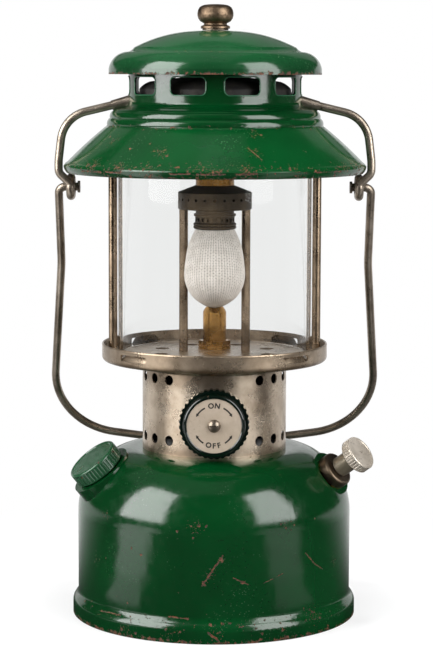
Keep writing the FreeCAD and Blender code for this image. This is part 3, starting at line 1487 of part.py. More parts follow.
def make_stud_and_ball():
    flange = size.chamber_top + size.stud_flange_height
    ball_height = size.cap_top_height + size.ball_rise
    ball_top = ball_height + size.ball_crown
    stud_top = ball_height + size.stud_reach
    lathe("vent_stud", [
        (0, size.chamber_top - size.stud_tail),
        (size.stud_radius, size.chamber_top - size.stud_tail),
        (size.stud_radius, size.chamber_top),
        (size.stud_flange_radius, size.chamber_top),
        (size.stud_flange_radius, flange),
        (size.stud_radius, flange),
        (size.stud_radius, stud_top - 0.7),
        (size.stud_radius - 0.7, stud_top),
        (0, stud_top),
    ])
    bore = size.stud_radius + size.thread_clearance
    washer_low = size.cap_top_height + size.loose_clearance
    washer_high = washer_low + size.washer_thickness
    lathe("ball_nut_washer", [
        (bore, washer_low),
        (size.washer_radius, washer_low),
        (size.washer_radius, washer_high),
        (bore, washer_high),
    ])
    foot = washer_high + size.thread_clearance
    waist = ball_height - 5
    lathe("ball_nut", [
        (bore, foot),
        (size.ball_foot_radius - 0.3, foot),
        (size.ball_foot_radius, foot + 0.3),
        (size.ball_foot_radius, foot + 1, QUARTER),
        (size.ball_foot_radius - 0.5, foot + 1.5),
        (size.ball_neck_radius, foot + 1.8),
        (size.ball_neck_radius, waist - 0.2),
        (size.ball_neck_radius + 0.9, waist, 0.3),
        (size.ball_radius, ball_height, 0.33),
        (size.ball_neck_radius, ball_top - 1.2, dome_bulge(size.ball_neck_radius, Size(1.2, "1.2"))),
        (0, ball_top),
        (0, stud_top + 1),
        (bore, stud_top + 1),
    ])


make_hood()
make_cap()
make_stud_and_ball()


# ---------------------------------------------------------------- ears and bail

def make_ears():
    rings = []
    start = size.band_radius - 3.5
    corner = size.ear_reach - size.ear_corner_inset
    along = cosine(size.ear_slope)
    for word, side, turn in ferrule_turns:
        label = f"bail_ear_{word}"
        wire(label, [
            (side * start, ear_axis(start), 0),
            (side * corner, ear_axis(corner), size.ear_corner_radius),
            (side * size.ear_reach, size.brim_height + size.ear_brim_rise, size.ear_leg_bend),
            (side * size.ear_reach, size.brim_lip_height - 0.2, 5),
            (side * size.eye_reach, size.pivot_height + 1.9, 3.6),
            (side * size.eye_reach, size.pivot_height, 0),
        ], size.ear_wire_radius)
        body = doc.getObject(label)
        eye = body.newObject("PartDesign::AdditiveTorus", f"{label}_eye")
        eye.AttachmentSupport = (origin_feature(body, "YZ_Plane"), [""])
        eye.MapMode = "FlatFace"
        eye.AttachmentOffset = Placement(
            Vector(number(eye_radius), number(size.pivot_height), side * number(size.eye_reach)), Rotation())
        bind(eye, "Radius1", eye_radius)
        bind(eye, "Radius2", size.eye_wire_radius)
        body.Tip = eye
        place(body, y=-eye_radius)
        sleeve = cone(f"ferrule_{word}", size.ferrule_radius, size.ferrule_tip_radius,
                      (size.ferrule_outer - ferrule_inner) / along,
                      x=side * ferrule_inner, y=-eye_radius, z=ear_axis(ferrule_inner), turn=turn)
        before = ferrule_inner - 1
        length = (size.ferrule_outer - before + 1) / along
        hole = cylinder(f"ferrule_bore_{word}", size.ear_wire_radius, length,
                        x=side * before, y=-eye_radius, z=ear_axis(before), turn=turn)
        rings.append(cut_away(f"ferrule_ring_{word}", sleeve, [hole]))
    pair = doc.addObject("Part::Compound", "ear_ferrules")
    pair.Links = rings
    keep(pair, "ear_ferrules")


def bail_lean():
    """Degrees that the bail leans back from straight down when its grip rests on the shoulder."""
    centre = Vector(number(shoulder_centre), number(shoulder_foot), 0)
    pivot = Vector(0, number(size.pivot_height), 0)
    apart = (centre - pivot).Length
    turn = math.atan(number(size.bail_length - size.bail_corner_drop) / number(size.bail_spread))
    grip = number(size.bail_length) - number(size.bail_grip_radius) * (1 / math.cos(turn) - 1)
    rest = number(size.shoulder_radius + size.bail_wire_radius + size.loose_clearance)
    inner = math.acos((grip ** 2 + apart ** 2 - rest ** 2) / (2 * grip * apart))
    return math.degrees(inner + math.atan2(centre.x, pivot.y - centre.y))


def make_bail():
    end = size.eye_reach - size.ear_wire_radius - 1.6
    half = [
        (end, 0, 0),
        (size.bail_reach, 0, size.bail_hook_radius),
        (size.bail_reach, -size.bail_straight, size.bail_leg_bend),
        (size.bail_spread, -size.bail_corner_drop, size.bail_corner_radius),
    ]
    left = [(-x, z, bend) for x, z, bend in half]
    grip = [(0, -size.bail_length, size.bail_grip_radius)]
    wire("bail", left + grip + half[::-1], size.bail_wire_radius)
    body = doc.getObject("bail")
    for word, side in (("left", -90), ("right", 90)):
        core(body, f"peened_head_{word}", size.bail_wire_radius + 1, end - 1.2, end + 0.2, cut=False,
             at=Placement(Vector(), Rotation(Vector(0, 1, 0), side)))
    lean = bail_lean()
    print(f"bail leans back {lean:.3f} degrees")
    place(body, z=size.pivot_height, turn=Rotation(Vector(1, 0, 0), lean))


make_ears()
make_bail()


# ---------------------------------------------------------------- check and write

def write_parts():
    doc.recompute()
    for item in doc.Objects:
        if "Invalid" in item.State or "Error" in item.State:
            raise RuntimeError(f"{item.Label} failed: {item.State}")
    for item in sub_parts:
        if item.Shape.isNull() or not item.Shape.isValid():
            raise RuntimeError(f"{item.Label} has no valid shape")
    os.makedirs("parts", exist_ok=True)
    for item in sub_parts:
        item.Shape.exportStep(f"parts/{item.Label}.step")


write_parts()
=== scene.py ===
import json
import math

import bpy
from mathutils import Matrix, Vector
from mathutils.bvhtree import BVHTree


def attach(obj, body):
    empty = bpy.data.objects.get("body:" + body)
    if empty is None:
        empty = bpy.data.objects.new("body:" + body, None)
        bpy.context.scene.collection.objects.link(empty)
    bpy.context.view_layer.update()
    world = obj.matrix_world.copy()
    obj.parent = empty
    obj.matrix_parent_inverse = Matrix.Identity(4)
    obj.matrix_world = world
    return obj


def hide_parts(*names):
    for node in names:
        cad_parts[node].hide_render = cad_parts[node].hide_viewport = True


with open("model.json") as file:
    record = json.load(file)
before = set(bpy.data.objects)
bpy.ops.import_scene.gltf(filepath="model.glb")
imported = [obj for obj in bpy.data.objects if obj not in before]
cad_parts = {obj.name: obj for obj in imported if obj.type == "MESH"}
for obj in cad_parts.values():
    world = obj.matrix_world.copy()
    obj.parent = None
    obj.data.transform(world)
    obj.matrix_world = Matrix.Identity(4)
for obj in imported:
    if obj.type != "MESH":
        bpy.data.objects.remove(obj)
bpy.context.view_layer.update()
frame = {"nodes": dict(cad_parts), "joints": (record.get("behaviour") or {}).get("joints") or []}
nodes = frame["nodes"]

MM = 0.001
scene = bpy.context.scene
scene.view_settings.view_transform = "Standard"


# ---------------------------------------------------------------- camera

IMAGE_WIDTH = 433
IMAGE_HEIGHT = 650
FOCAL_PIXELS = 2171.0
CAMERA_SPOT = Vector((0.0011, -1.208, 0.30284))
CAMERA_TILT = math.radians(6.647)
CAMERA_ROLL = math.radians(0.18)
SENSOR = 36.0


def make_camera():
    data = bpy.data.cameras.new("camera")
    data.sensor_width = SENSOR
    data.lens = SENSOR * FOCAL_PIXELS / IMAGE_HEIGHT
    data.clip_start = 0.05
    data.clip_end = 50
    camera = bpy.data.objects.new("camera", data)
    scene.collection.objects.link(camera)
    turn = Matrix.Rotation(math.pi / 2 - CAMERA_TILT, 4, "X") @ Matrix.Rotation(CAMERA_ROLL, 4, "Z")
    camera.matrix_world = Matrix.Translation(CAMERA_SPOT) @ turn
    scene.camera = camera
    return camera


camera = make_camera()


def pixel_ray(x, y):
    """Direction from the camera through a pixel of the photograph's frame."""
    local = Vector(((x - IMAGE_WIDTH / 2) / FOCAL_PIXELS, (IMAGE_HEIGHT / 2 - y) / FOCAL_PIXELS, -1))
    return (camera.matrix_world.to_3x3() @ local).normalized()


# ---------------------------------------------------------------- lights, floor and backdrop

def area_light(name, spot, aim, width, height, radiance, gloss=True, diffuse=True):
    """A rectangular light. It shows in reflections where gloss is set, and lights matt surfaces where
    diffuse is set."""
    data = bpy.data.lights.new(name, "AREA")
    data.shape = "RECTANGLE"
    data.size = width
    data.size_y = height
    data.energy = radiance * math.pi * width * height
    light = bpy.data.objects.new(name, data)
    scene.collection.objects.link(light)
    light.location = spot
    light.rotation_euler = (Vector(aim) - Vector(spot)).to_track_quat("-Z", "Y").to_euler()
    light.visible_camera = False
    light.visible_transmission = False
    light.visible_glossy = gloss
    light.visible_diffuse = diffuse
    return light


SOFTBOX_FAR = 1.25
SOFTBOX_HIGH = 1.53
SOFTBOX_MIDDLE = 0.925
FILL_HIGH = 0.85
FILL_SIZE = (0.95, 1.0)
LANTERN_MIDDLE = 0.28
# Lit strips of the table that the tank mirrors: nearest and furthest from the axis, width, share of the shine.
TABLE_LIGHTS = ((0.13, 0.20, 0.07, 0.5), (0.20, 0.28, 0.11, 0.8), (0.28, 0.42, 0.17, 1.0),
                (0.42, 0.96, 0.36, 1.0))
TABLE_LIGHT_RISE = 0.001
# Each side: name, sign of x, the softbox's two edges in degrees from the front, and the shine of the softbox,
# of its fill and of its table strips.
SIDES = (("left", -1, 41, 83, 9.4, 6.4, 2.2), ("right", 1, 35, 71, 7.2, 5.0, 0.8))
# Lights above and behind: name, spot, aim, width, height, shine, whether it shows in reflections, and whether
# it lights matt surfaces.
ROOM_LIGHTS = (("overhead", (0, -0.04, 1.7), (0, 0, 0.2), 0.3, 0.3, 92.0, False, True),
               ("ceiling", (-0.95, 0, 2.4), (-0.95, 0, 0), 2.9, 3.0, 0.22, True, False),
               ("high_back", (0, 1.9, 1.45), (0, 0, 0.32), 2.8, 1.2, 0.22, True, False))


def make_lights():
    """A softbox, a fill and strips of lit table on each side, and the lights above and behind."""
    for word, side, low_turn, high_turn, shine, fill, table in SIDES:
        turn = math.radians((low_turn + high_turn) / 2)
        width = 2 * SOFTBOX_FAR * math.tan(math.radians((high_turn - low_turn) / 2))
        x, y = side * math.sin(turn), -math.cos(turn)
        spot = (SOFTBOX_FAR * x, SOFTBOX_FAR * y, SOFTBOX_MIDDLE)
        area_light(f"softbox_{word}", spot, (0, 0, SOFTBOX_MIDDLE), width, SOFTBOX_HIGH, shine, diffuse=False)
        area_light(f"fill_{word}", (SOFTBOX_FAR * x, SOFTBOX_FAR * y, FILL_HIGH), (0, 0, LANTERN_MIDDLE),
                   *FILL_SIZE, fill, gloss=False)
        for near, far, width, share in TABLE_LIGHTS:
            middle = (near + far) / 2
            spot = (middle * x, middle * y, TABLE_LIGHT_RISE)
            strip = area_light(f"table_{word}_{far}", spot, (0, 0, 1), far - near, width, table * share,
                               diffuse=False)
            strip.rotation_euler = (math.pi, 0, math.atan2(y, x))
    for light in ROOM_LIGHTS:
        area_light(*light)


def direct_view(tree):
    """The light path node, and a socket that is 1 for rays from the camera and through glass."""
    path = tree.nodes.new("ShaderNodeLightPath")
    through = tree.nodes.new("ShaderNodeMath")
    through.operation = "MAXIMUM"
    tree.links.new(path.outputs["Is Camera Ray"], through.inputs[0])
    tree.links.new(path.outputs["Is Transmission Ray"], through.inputs[1])
    return path, through.outputs[0]


def mixed(tree, share, first, second):
    """One shader at share 0, the other at share 1."""
    mix = tree.nodes.new("ShaderNodeMixShader")
    for socket, feed in zip(mix.inputs, (share, first, second)):
        tree.links.new(feed, socket)
    return mix.outputs[0]


def stepped(tree, value, amounts):
    """A smooth step. amounts is (from low, from high, to low, to high)."""
    node = tree.nodes.new("ShaderNodeMapRange")
    node.interpolation_type = "SMOOTHSTEP"
    node.clamp = True
    for socket, amount in zip(list(node.inputs)[1:5], amounts):
        socket.default_value = amount
    tree.links.new(value, node.inputs[0])
    return node.outputs[0]


WORLD_LIGHT = (0.30, 0.30, 0.31, 1)
WORLD_GLOSS = (0.035, 0.033, 0.03, 1)
WHITE = (1, 1, 1, 1)
FLOOR_DROP = 0.0002
FLOOR_REACH = 6.0
FLOOR_SEEN = 0.9
# The share of plain white by distance from the middle of the floor. Nearer in, shadows show.
FLOOR_WHITE = (0.09, 0.30, 0.75, 1.0)
FLOOR_BOUNCE = 0.32
FLOOR_GLOSS = 0.03
# The share of white that reflections show of the floor, by distance behind the lantern.
FLOOR_BEHIND = (0.0, 0.30, 0.0, 0.95)
BACKDROP_GLOSS = 0.85
# Half width, foot, top, distance behind the lantern.
BACKDROP = (1.7, 0.0, 0.62, 1.6)


def make_world():
    """White to the camera and through glass, dark in reflections, grey to other rays."""
    world = bpy.data.worlds.new("studio")
    scene.world = world
    world.use_nodes = True
    tree = world.node_tree
    tree.nodes.clear()
    out = tree.nodes.new("ShaderNodeOutputWorld")
    shades = []
    for colour in (WHITE, WORLD_LIGHT, WORLD_GLOSS):
        shade = tree.nodes.new("ShaderNodeBackground")
        shade.inputs["Color"].default_value = colour
        shades.append(shade.outputs[0])
    seen, room, dark = shades
    path, direct = direct_view(tree)
    indirect = mixed(tree, path.outputs["Is Glossy Ray"], room, dark)
    tree.links.new(mixed(tree, direct, indirect, seen), out.inputs["Surface"])


def floor_material():
    """White to the camera and through glass, with the object's shadow near it. Grey to other rays."""
    material = bpy.data.materials.new("floor_white")
    material.use_nodes = True
    tree = material.node_tree
    tree.nodes.clear()
    out = tree.nodes.new("ShaderNodeOutputMaterial")
    emission = tree.nodes.new("ShaderNodeEmission")
    emission.inputs["Color"].default_value = WHITE
    white = emission.outputs[0]
    shades = []
    for shade in (FLOOR_SEEN, FLOOR_BOUNCE, FLOOR_GLOSS):
        matt = tree.nodes.new("ShaderNodeBsdfDiffuse")
        matt.inputs["Color"].default_value = (shade, shade, shade, 1)
        shades.append(matt.outputs[0])
    pale, grey, dark = shades
    ground = tree.nodes.new("ShaderNodeTexCoord")
    reach = tree.nodes.new("ShaderNodeVectorMath")
    reach.operation = "LENGTH"
    tree.links.new(ground.outputs["Object"], reach.inputs[0])
    seen = mixed(tree, stepped(tree, reach.outputs["Value"], FLOOR_WHITE), pale, white)
    path, direct = direct_view(tree)
    depth = tree.nodes.new("ShaderNodeSeparateXYZ")
    tree.links.new(ground.outputs["Object"], depth.inputs[0])
    behind = stepped(tree, depth.outputs["Y"], FLOOR_BEHIND)
    other = mixed(tree, path.outputs["Is Glossy Ray"], grey, mixed(tree, behind, dark, white))
    tree.links.new(mixed(tree, direct, other, seen), out.inputs["Surface"])
    return material


def make_floor():
    """A large floor, just below the lantern's foot."""
    mesh = bpy.data.meshes.new("floor")
    reach = FLOOR_REACH
    mesh.from_pydata([(-reach, -reach, 0), (reach, -reach, 0), (reach, reach, 0), (-reach, reach, 0)], [],
                     [(0, 1, 2, 3)])
    floor = bpy.data.objects.new("floor", mesh)
    floor.location.z = -FLOOR_DROP
    scene.collection.objects.link(floor)
    mesh.materials.append(floor_material())


def make_backdrop():
    """A bright wall behind the object, which metal and enamel show at their edges."""
    data = bpy.data.meshes.new("backdrop")
    half, low, high, back = BACKDROP
    data.from_pydata([(-half, back, low), (half, back, low), (half, back, high), (-half, back, high)], [],
                     [(0, 1, 2, 3)])
    wall = bpy.data.objects.new("backdrop", data)
    scene.collection.objects.link(wall)
    material = bpy.data.materials.new("backdrop_white")
    material.use_nodes = True
    tree = material.node_tree
    tree.nodes.clear()
    out = tree.nodes.new("ShaderNodeOutputMaterial")
    white = tree.nodes.new("ShaderNodeEmission")
    _, direct = direct_view(tree)
    strength = tree.nodes.new("ShaderNodeMapRange")
    strength.inputs[3].default_value = BACKDROP_GLOSS
    tree.links.new(direct, strength.inputs[0])
    tree.links.new(strength.outputs[0], white.inputs["Strength"])
    tree.links.new(white.outputs[0], out.inputs["Surface"])
    data.materials.append(material)


make_lights()
make_world()
make_floor()
make_backdrop()


# ---------------------------------------------------------------- material kit

class Shader:
    """A material and short calls that add nodes to it. Values are sockets or numbers."""

    def __init__(self, name):
        self.material = bpy.data.materials.new(name)
        self.material.use_nodes = True
        self.tree = self.material.node_tree
        self.tree.nodes.clear()
        self.out = self.tree.nodes.new("ShaderNodeOutputMaterial")
        self.bsdf = self.tree.nodes.new("ShaderNodeBsdfPrincipled")
        self.tree.links.new(self.bsdf.outputs[0], self.out.inputs["Surface"])
        coordinates = self.tree.nodes.new("ShaderNodeTexCoord")
        self.place = coordinates.outputs["Object"]

    def feed(self, socket, value):
        if isinstance(value, bpy.types.NodeSocket):
            self.tree.links.new(value, socket)
        elif hasattr(value, "__len__"):
            whole = list(value)
            if socket.type == "RGBA" and len(whole) == 3:
                whole.append(1)
            socket.default_value = whole
        else:
            socket.default_value = value

    def set(self, **values):
        for name, value in values.items():
            self.feed(self.bsdf.inputs[name.replace("_", " ")], value)

    def math(self, operation, a, b=0.0, clamp=False):
        node = self.tree.nodes.new("ShaderNodeMath")
        node.operation = operation
        node.use_clamp = clamp
        self.feed(node.inputs[0], a)
        self.feed(node.inputs[1], b)
        return node.outputs[0]

    def vector(self, operation, a, b=(0, 0, 0), scale=1.0):
        node = self.tree.nodes.new("ShaderNodeVectorMath")
        node.operation = operation
        self.feed(node.inputs[0], a)
        self.feed(node.inputs[1], b)
        if operation == "SCALE":
            self.feed(node.inputs[3], scale)
        gives_number = operation in ("LENGTH", "DOT_PRODUCT", "DISTANCE")
        return node.outputs["Value"] if gives_number else node.outputs[0]

    def noise(self, scale, detail=3.0, roughness=0.55, place=None):
        node = self.tree.nodes.new("ShaderNodeTexNoise")
        self.feed(node.inputs["Vector"], place or self.place)
        self.feed(node.inputs["Scale"], scale)
        self.feed(node.inputs["Detail"], detail)
        self.feed(node.inputs["Roughness"], roughness)
        return node.outputs["Fac"]

    def cells(self, scale, place=None):
        node = self.tree.nodes.new("ShaderNodeTexVoronoi")
        self.feed(node.inputs["Vector"], place or self.place)
        self.feed(node.inputs["Scale"], scale)
        return node.outputs["Distance"]

    def ramp(self, value, low, high, to_low=0.0, to_high=1.0):
        node = self.tree.nodes.new("ShaderNodeMapRange")
        node.interpolation_type = "SMOOTHSTEP"
        node.clamp = True
        for socket, amount in zip(node.inputs, (value, low, high, to_low, to_high)):
            self.feed(socket, amount)
        return node.outputs[0]

    def specks(self, table, place=None):
        """Dots gathered in clouds, from a table such as PITS."""
        count, whole, end, scale, detail, low, high = table
        dots = self.ramp(self.cells(count, place), whole, end, 1.0, 0.0)
        return self.math("MULTIPLY", dots, self.ramp(self.noise(scale, detail), low, high))

    def mix(self, share, a, b):
        node = self.tree.nodes.new("ShaderNodeMix")
        node.data_type = "RGBA"
        self.feed(node.inputs["Factor"], share)
        self.feed(node.inputs[6], a)
        self.feed(node.inputs[7], b)
        return node.outputs[2]

    def blend(self, share, a, b):
        node = self.tree.nodes.new("ShaderNodeMix")
        node.data_type = "FLOAT"
        self.feed(node.inputs["Factor"], share)
        self.feed(node.inputs[2], a)
        self.feed(node.inputs[3], b)
        return node.outputs[0]

    def bump(self, height, distance, strength=1.0, under=None):
        node = self.tree.nodes.new("ShaderNodeBump")
        self.feed(node.inputs["Height"], height)
        self.feed(node.inputs["Distance"], distance)
        self.feed(node.inputs["Strength"], strength)
        if under is not None:
            self.feed(node.inputs["Normal"], under)
        return node.outputs[0]

    def axis(self, name):
        node = self.tree.nodes.new("ShaderNodeSeparateXYZ")
        self.feed(node.inputs[0], self.place)
        return node.outputs[name]

    def band(self, height, half):
        """1 near a height above the ground, 0 further than half away, in metres."""
        off = self.math("ABSOLUTE", self.math("SUBTRACT", self.axis("Z"), height))
        return self.ramp(off, 0.0, half, 1.0, 0.0)

    def stretch(self, x=1.0, y=1.0, z=1.0):
        return self.vector("MULTIPLY", self.place, (x, y, z))


def dress(material, *names):
    """Gives CAD nodes a material."""
    for name in names:
        item = nodes[name]
        item.data.materials.clear()
        item.data.materials.append(material)
        for polygon in item.data.polygons:
            polygon.material_index = 0


RUST = (0.040, 0.012, 0.004)
PRIMER = (0.165, 0.053, 0.015)
PALE_PIT = (0.06, 0.15, 0.09)
PALE_SPECK = (0.13, 0.21, 0.13)
ENAMEL = (0.0007, 0.0375, 0.0078)
CAP_ENAMEL = (0.0050, 0.0455, 0.0140)
FILLER_ENAMEL = (0.016, 0.078, 0.032)
KNOB_ENAMEL = (0.0008, 0.0055, 0.0030)
# Lighter green of the windows' rolled edges: a painted highlight.
EDGE_HIGHLIGHT_ENAMEL = (0.02, 0.11, 0.05)
LIGHT_ENAMEL = 1.35
DEEP_ENAMEL = 0.35
# Specks in the enamel: cells to the metre, how far from a cell's middle a speck is whole and where it ends,
# then the noise that gathers them: scale, detail, and where it starts and is full.
PITS = (1500, 0.0, 0.16, 60, 4, 0.50, 0.66)
PALE_SPECKS = (640, 0.08, 0.24, 38, 3, 0.50, 0.66)
DEEP_SPECKS = (520, 0.08, 0.26, 31, 3, 0.46, 0.62)
PIT_SHARE, PALE_SHARE, DEEP_SHARE = 0.45, 0.42, 0.55
CELLS_APART = (0.7, 0.3, 0.9)
# Noises here and below: scale, detail, roughness. Ramps: where a noise starts to count and counts in full, and
# for some the values there. Bumps: depth in metres, strength.
TONE_NOISE, TONE_RAMP = (22, 2), (0.35, 0.7)
CHIP_NOISE = (170, 6, 0.62)
RAGGED_NOISE = (420, 5, 0.7)
FINE_NOISE = (1050, 4, 0.62)
TORN_NOISE = (700, 4, 0.65)
RUST_NOISE, RUST_RAMP = (900, 4), (0.4, 0.62)
GLOSS_NOISE, GLOSS_RAMP = (300, 3), (0.3, 0.75, 0.11, 0.20)
PEEL_NOISE, PEEL_BUMP = (95, 2), (0.0004, 0.10)
PIT_BUMP = (0.00012, 0.35)
CHIP_BUMP = (0.00025, 0.9)
# How high a noise has to be to chip the enamel: anywhere, less with wear, and at the edge of a rubbed ring or
# of a patch.
CHIP_LOW, CHIP_HIGH, CHIP_WEAR = 0.735, 0.755, 0.02
RUBBED_LIMIT = 0.80
PATCH_LIMIT = 0.725
CHIP_EDGE = 0.03
# The strength of a rubbed ring at which it starts to chip and chips in full.
RING_EDGE = (0.02, 0.10)
# How far a noise pushes the edge of a scratch about, and where the edge starts and ends, in its half widths.
TORN = 5.0
MARK_CORE, MARK_EDGE = 0.7, 1.1
RUST_ROUGHNESS = 0.75


def enamel(name, colour=ENAMEL, worn_heights=(), marks=(), patches=(), wear=0.5):
    """Glossy vitreous enamel with fine pits, chips that show rust, and rubbed edges. marks lists scratches
    and chips as (start, end, half width) in metres, with no end for a chip. patches lists places where small
    chips lie close together, as (middle, radius, share). worn_heights lists rubbed rings, as (height, half
    width, share)."""
    s = Shader(name)
    tone = s.ramp(s.noise(*TONE_NOISE), *TONE_RAMP)
    body = s.mix(tone, colour, tuple(c * LIGHT_ENAMEL for c in colour))
    pit = s.specks(PITS)
    body = s.mix(s.math("MULTIPLY", pit, PIT_SHARE), body, PALE_PIT)
    body = s.mix(s.math("MULTIPLY", s.specks(PALE_SPECKS), PALE_SHARE), body, PALE_SPECK)
    deep = s.specks(DEEP_SPECKS, s.vector("ADD", s.place, CELLS_APART))
    body = s.mix(s.math("MULTIPLY", deep, DEEP_SHARE), body, tuple(c * DEEP_ENAMEL for c in colour))
    chips = s.ramp(s.noise(*CHIP_NOISE), CHIP_LOW - CHIP_WEAR * wear, CHIP_HIGH - CHIP_WEAR * wear)
    ragged = s.noise(*RAGGED_NOISE)
    for height, half, bare in worn_heights:
        near = s.band(height, half)
        limit = s.math("SUBTRACT", RUBBED_LIMIT, s.math("MULTIPLY", near, bare))
        worn = s.ramp(s.math("SUBTRACT", ragged, limit), 0.0, CHIP_EDGE)
        worn = s.math("MULTIPLY", worn, s.ramp(near, *RING_EDGE))
        chips = s.math("MAXIMUM", chips, worn)
    fine = s.noise(*FINE_NOISE)
    for middle, radius, share in patches:
        near = s.ramp(s.vector("DISTANCE", s.place, tuple(middle)), 0.0, radius, 1.0, 0.0)
        limit = s.math("SUBTRACT", PATCH_LIMIT, s.math("MULTIPLY", near, share))
        chips = s.math("MAXIMUM", chips, s.ramp(s.math("SUBTRACT", fine, limit), 0.0, CHIP_EDGE))
    nearest_mark = None
    for start, end, half in marks:
        if end is None:
            gap = s.vector("DISTANCE", s.place, tuple(start))
        else:
            along = end - start
            off = s.vector("SUBTRACT", s.place, tuple(start))
            share = s.math("DIVIDE", s.vector("DOT_PRODUCT", off, tuple(along)), along.length_squared,
                           clamp=True)
            gap = s.vector("DISTANCE", off, s.vector("SCALE", tuple(along), scale=share))
        gap = s.math("DIVIDE", gap, half)
        nearest_mark = gap if nearest_mark is None else s.math("MINIMUM", nearest_mark, gap)
    if nearest_mark is not None:
        torn = s.math("MULTIPLY", s.math("SUBTRACT", s.noise(*TORN_NOISE), 0.5), TORN)
        mark = s.ramp(s.math("ADD", nearest_mark, torn), MARK_CORE, MARK_EDGE, 1.0, 0.0)
        chips = s.math("MAXIMUM", chips, mark)
    rust = s.mix(s.ramp(s.noise(*RUST_NOISE), *RUST_RAMP), RUST, PRIMER)
    s.set(Base_Color=s.mix(chips, body, rust), Metallic=0.0,
          Roughness=s.blend(chips, s.ramp(s.noise(*GLOSS_NOISE), *GLOSS_RAMP), RUST_ROUGHNESS),
          Specular_IOR_Level=0.5)
    peel = s.bump(s.noise(*PEEL_NOISE), *PEEL_BUMP)
    pits = s.bump(pit, *PIT_BUMP, under=peel)
    s.set(Normal=s.bump(s.math("MULTIPLY", chips, -1.0), *CHIP_BUMP, under=pits))
    return s.material


# Brown of the darker rings on the nickel, mostly painted shadow under the tray.
BAND_BROWN = (0.10, 0.055, 0.02)
# Near black: painted shade inside the collar.
INSIDE_SHADE = (0.012, 0.010, 0.008)
PIT_SHADE = 0.25
DARKEN_EDGE = 0.0004
INSIDE_SHADE_EDGE = 0.0002
CLOUD_NOISE, CLOUD_RAMP = (48, 5, 0.65), (0.32, 0.68)
DOT_NOISE, DOT_RAMP = (620, 4, 0.7), (0.56, 0.66)
DOT_CLOUD_NOISE, DOT_CLOUD_RAMP = (75, 3), (0.38, 0.62)
BAND_NOISE, BAND_RAMP = (55, 4), (0.3, 0.6)
MATT_NOISE, MATT_RAMP = (90, 4), (0.3, 0.7)
DOT_ROUGHNESS = 0.2
DOT_BUMP = (0.00008, 0.5)
GRAIN_NOISE, GRAIN_BUMP = (1500, 3), (0.00002, 0.5)
BRUSH_NOISE, BRUSH_BUMP = (160, 3), (0.00004, 0.35)


def metal(name, bright, dull, roughness=(0.30, 0.48), grain=1.0, speckle=0.5, brushed=None, dark_bands=(),
          metallic=1.0, darkened=None, shade_within=None):
    """Aged plate or brass: mottled, pitted and a little brushed. dark_bands lists darker brown rings as
    (height, half width, share).
    darkened is (start, along, reach, colour): the metal takes that colour up to that reach along a line.
    Nearer to the lantern's axis than shade_within it is painted near black, as shade."""
    s = Shader(name)
    cloud = s.ramp(s.noise(CLOUD_NOISE[0] * grain, *CLOUD_NOISE[1:]), *CLOUD_RAMP)
    body = s.mix(cloud, dull, bright)
    dots = s.ramp(s.noise(DOT_NOISE[0] * grain, *DOT_NOISE[1:]), *DOT_RAMP)
    dots = s.math("MULTIPLY", dots, s.ramp(s.noise(*DOT_CLOUD_NOISE), *DOT_CLOUD_RAMP))
    body = s.mix(s.math("MULTIPLY", dots, speckle), body, tuple(c * PIT_SHADE for c in dull))
    # Darker brown rings; those under the tray and along its lower edge are painted shadow.
    for height, half, share in dark_bands:
        band_share = s.math("MULTIPLY", s.band(height, half), s.ramp(s.noise(*BAND_NOISE), *BAND_RAMP))
        body = s.mix(s.math("MULTIPLY", band_share, share), body, BAND_BROWN)
    # A darker colour past a given distance along a line.
    if darkened:
        start, along, reach, colour = darkened
        off = s.vector("DOT_PRODUCT", s.vector("SUBTRACT", s.place, tuple(start)), tuple(along))
        body = s.mix(s.ramp(off, reach - DARKEN_EDGE, reach, 1.0, 0.0), body, colour)
    # Painted shade: near black nearer to the axis than the given radius.
    if shade_within:
        reach = s.vector("LENGTH", s.stretch(1, 1, 0))
        body = s.mix(s.ramp(reach, shade_within - INSIDE_SHADE_EDGE, shade_within, 1.0, 0.0), body, INSIDE_SHADE)
    rough = s.ramp(s.noise(MATT_NOISE[0] * grain, *MATT_NOISE[1:]), *MATT_RAMP, *roughness)
    rough = s.math("ADD", rough, s.math("MULTIPLY", dots, DOT_ROUGHNESS))
    s.set(Base_Color=body, Metallic=metallic, Roughness=rough)
    surface = s.bump(dots, *DOT_BUMP)
    surface = s.bump(s.noise(*GRAIN_NOISE), *GRAIN_BUMP, under=surface)
    if brushed:
        surface = s.bump(s.noise(*BRUSH_NOISE, place=s.stretch(*brushed)), *BRUSH_BUMP, under=surface)
    s.set(Normal=surface)
    return s.material


GLASS_TINT = (0.915, 0.920, 0.917)
GLASS_IOR = 1.18


def glass_material():
    """Clear glass that lets shadow and diffuse rays straight through."""
    s = Shader("clear_glass")
    s.set(Base_Color=GLASS_TINT, Roughness=0.0, IOR=GLASS_IOR, Transmission_Weight=1.0)
    clear = s.tree.nodes.new("ShaderNodeBsdfTransparent")
    path = s.tree.nodes.new("ShaderNodeLightPath")
    either = s.math("MAXIMUM", path.outputs["Is Shadow Ray"], path.outputs["Is Diffuse Ray"])
    mix = s.tree.nodes.new("ShaderNodeMixShader")
    s.feed(mix.inputs[0], either)
    s.tree.links.new(s.bsdf.outputs[0], mix.inputs[1])
    s.tree.links.new(clear.outputs[0], mix.inputs[2])
    s.tree.links.new(mix.outputs[0], s.out.inputs["Surface"])
    return s.material


PLAIN_DETAIL = 4
PLAIN_RAMP = (0.35, 0.65)
PLAIN_FINER = 4
PLAIN_BUMP = (0.00005, 0.6)


def plain(name, low, high, roughness, grain):
    """A matt material whose colour wanders between two tones."""
    s = Shader(name)
    tone = s.ramp(s.noise(grain, PLAIN_DETAIL), *PLAIN_RAMP)
    surface = s.bump(s.noise(grain * PLAIN_FINER, PLAIN_DETAIL), *PLAIN_BUMP)
    s.set(Base_Color=s.mix(tone, low, high), Roughness=roughness, Normal=surface)
    return s.material


# ---------------------------------------------------------------- dressing the CAD nodes

PUMP_AXIS = Vector(next(joint["axis"] for joint in frame["joints"] if joint["name"] == "pump_stroke"))


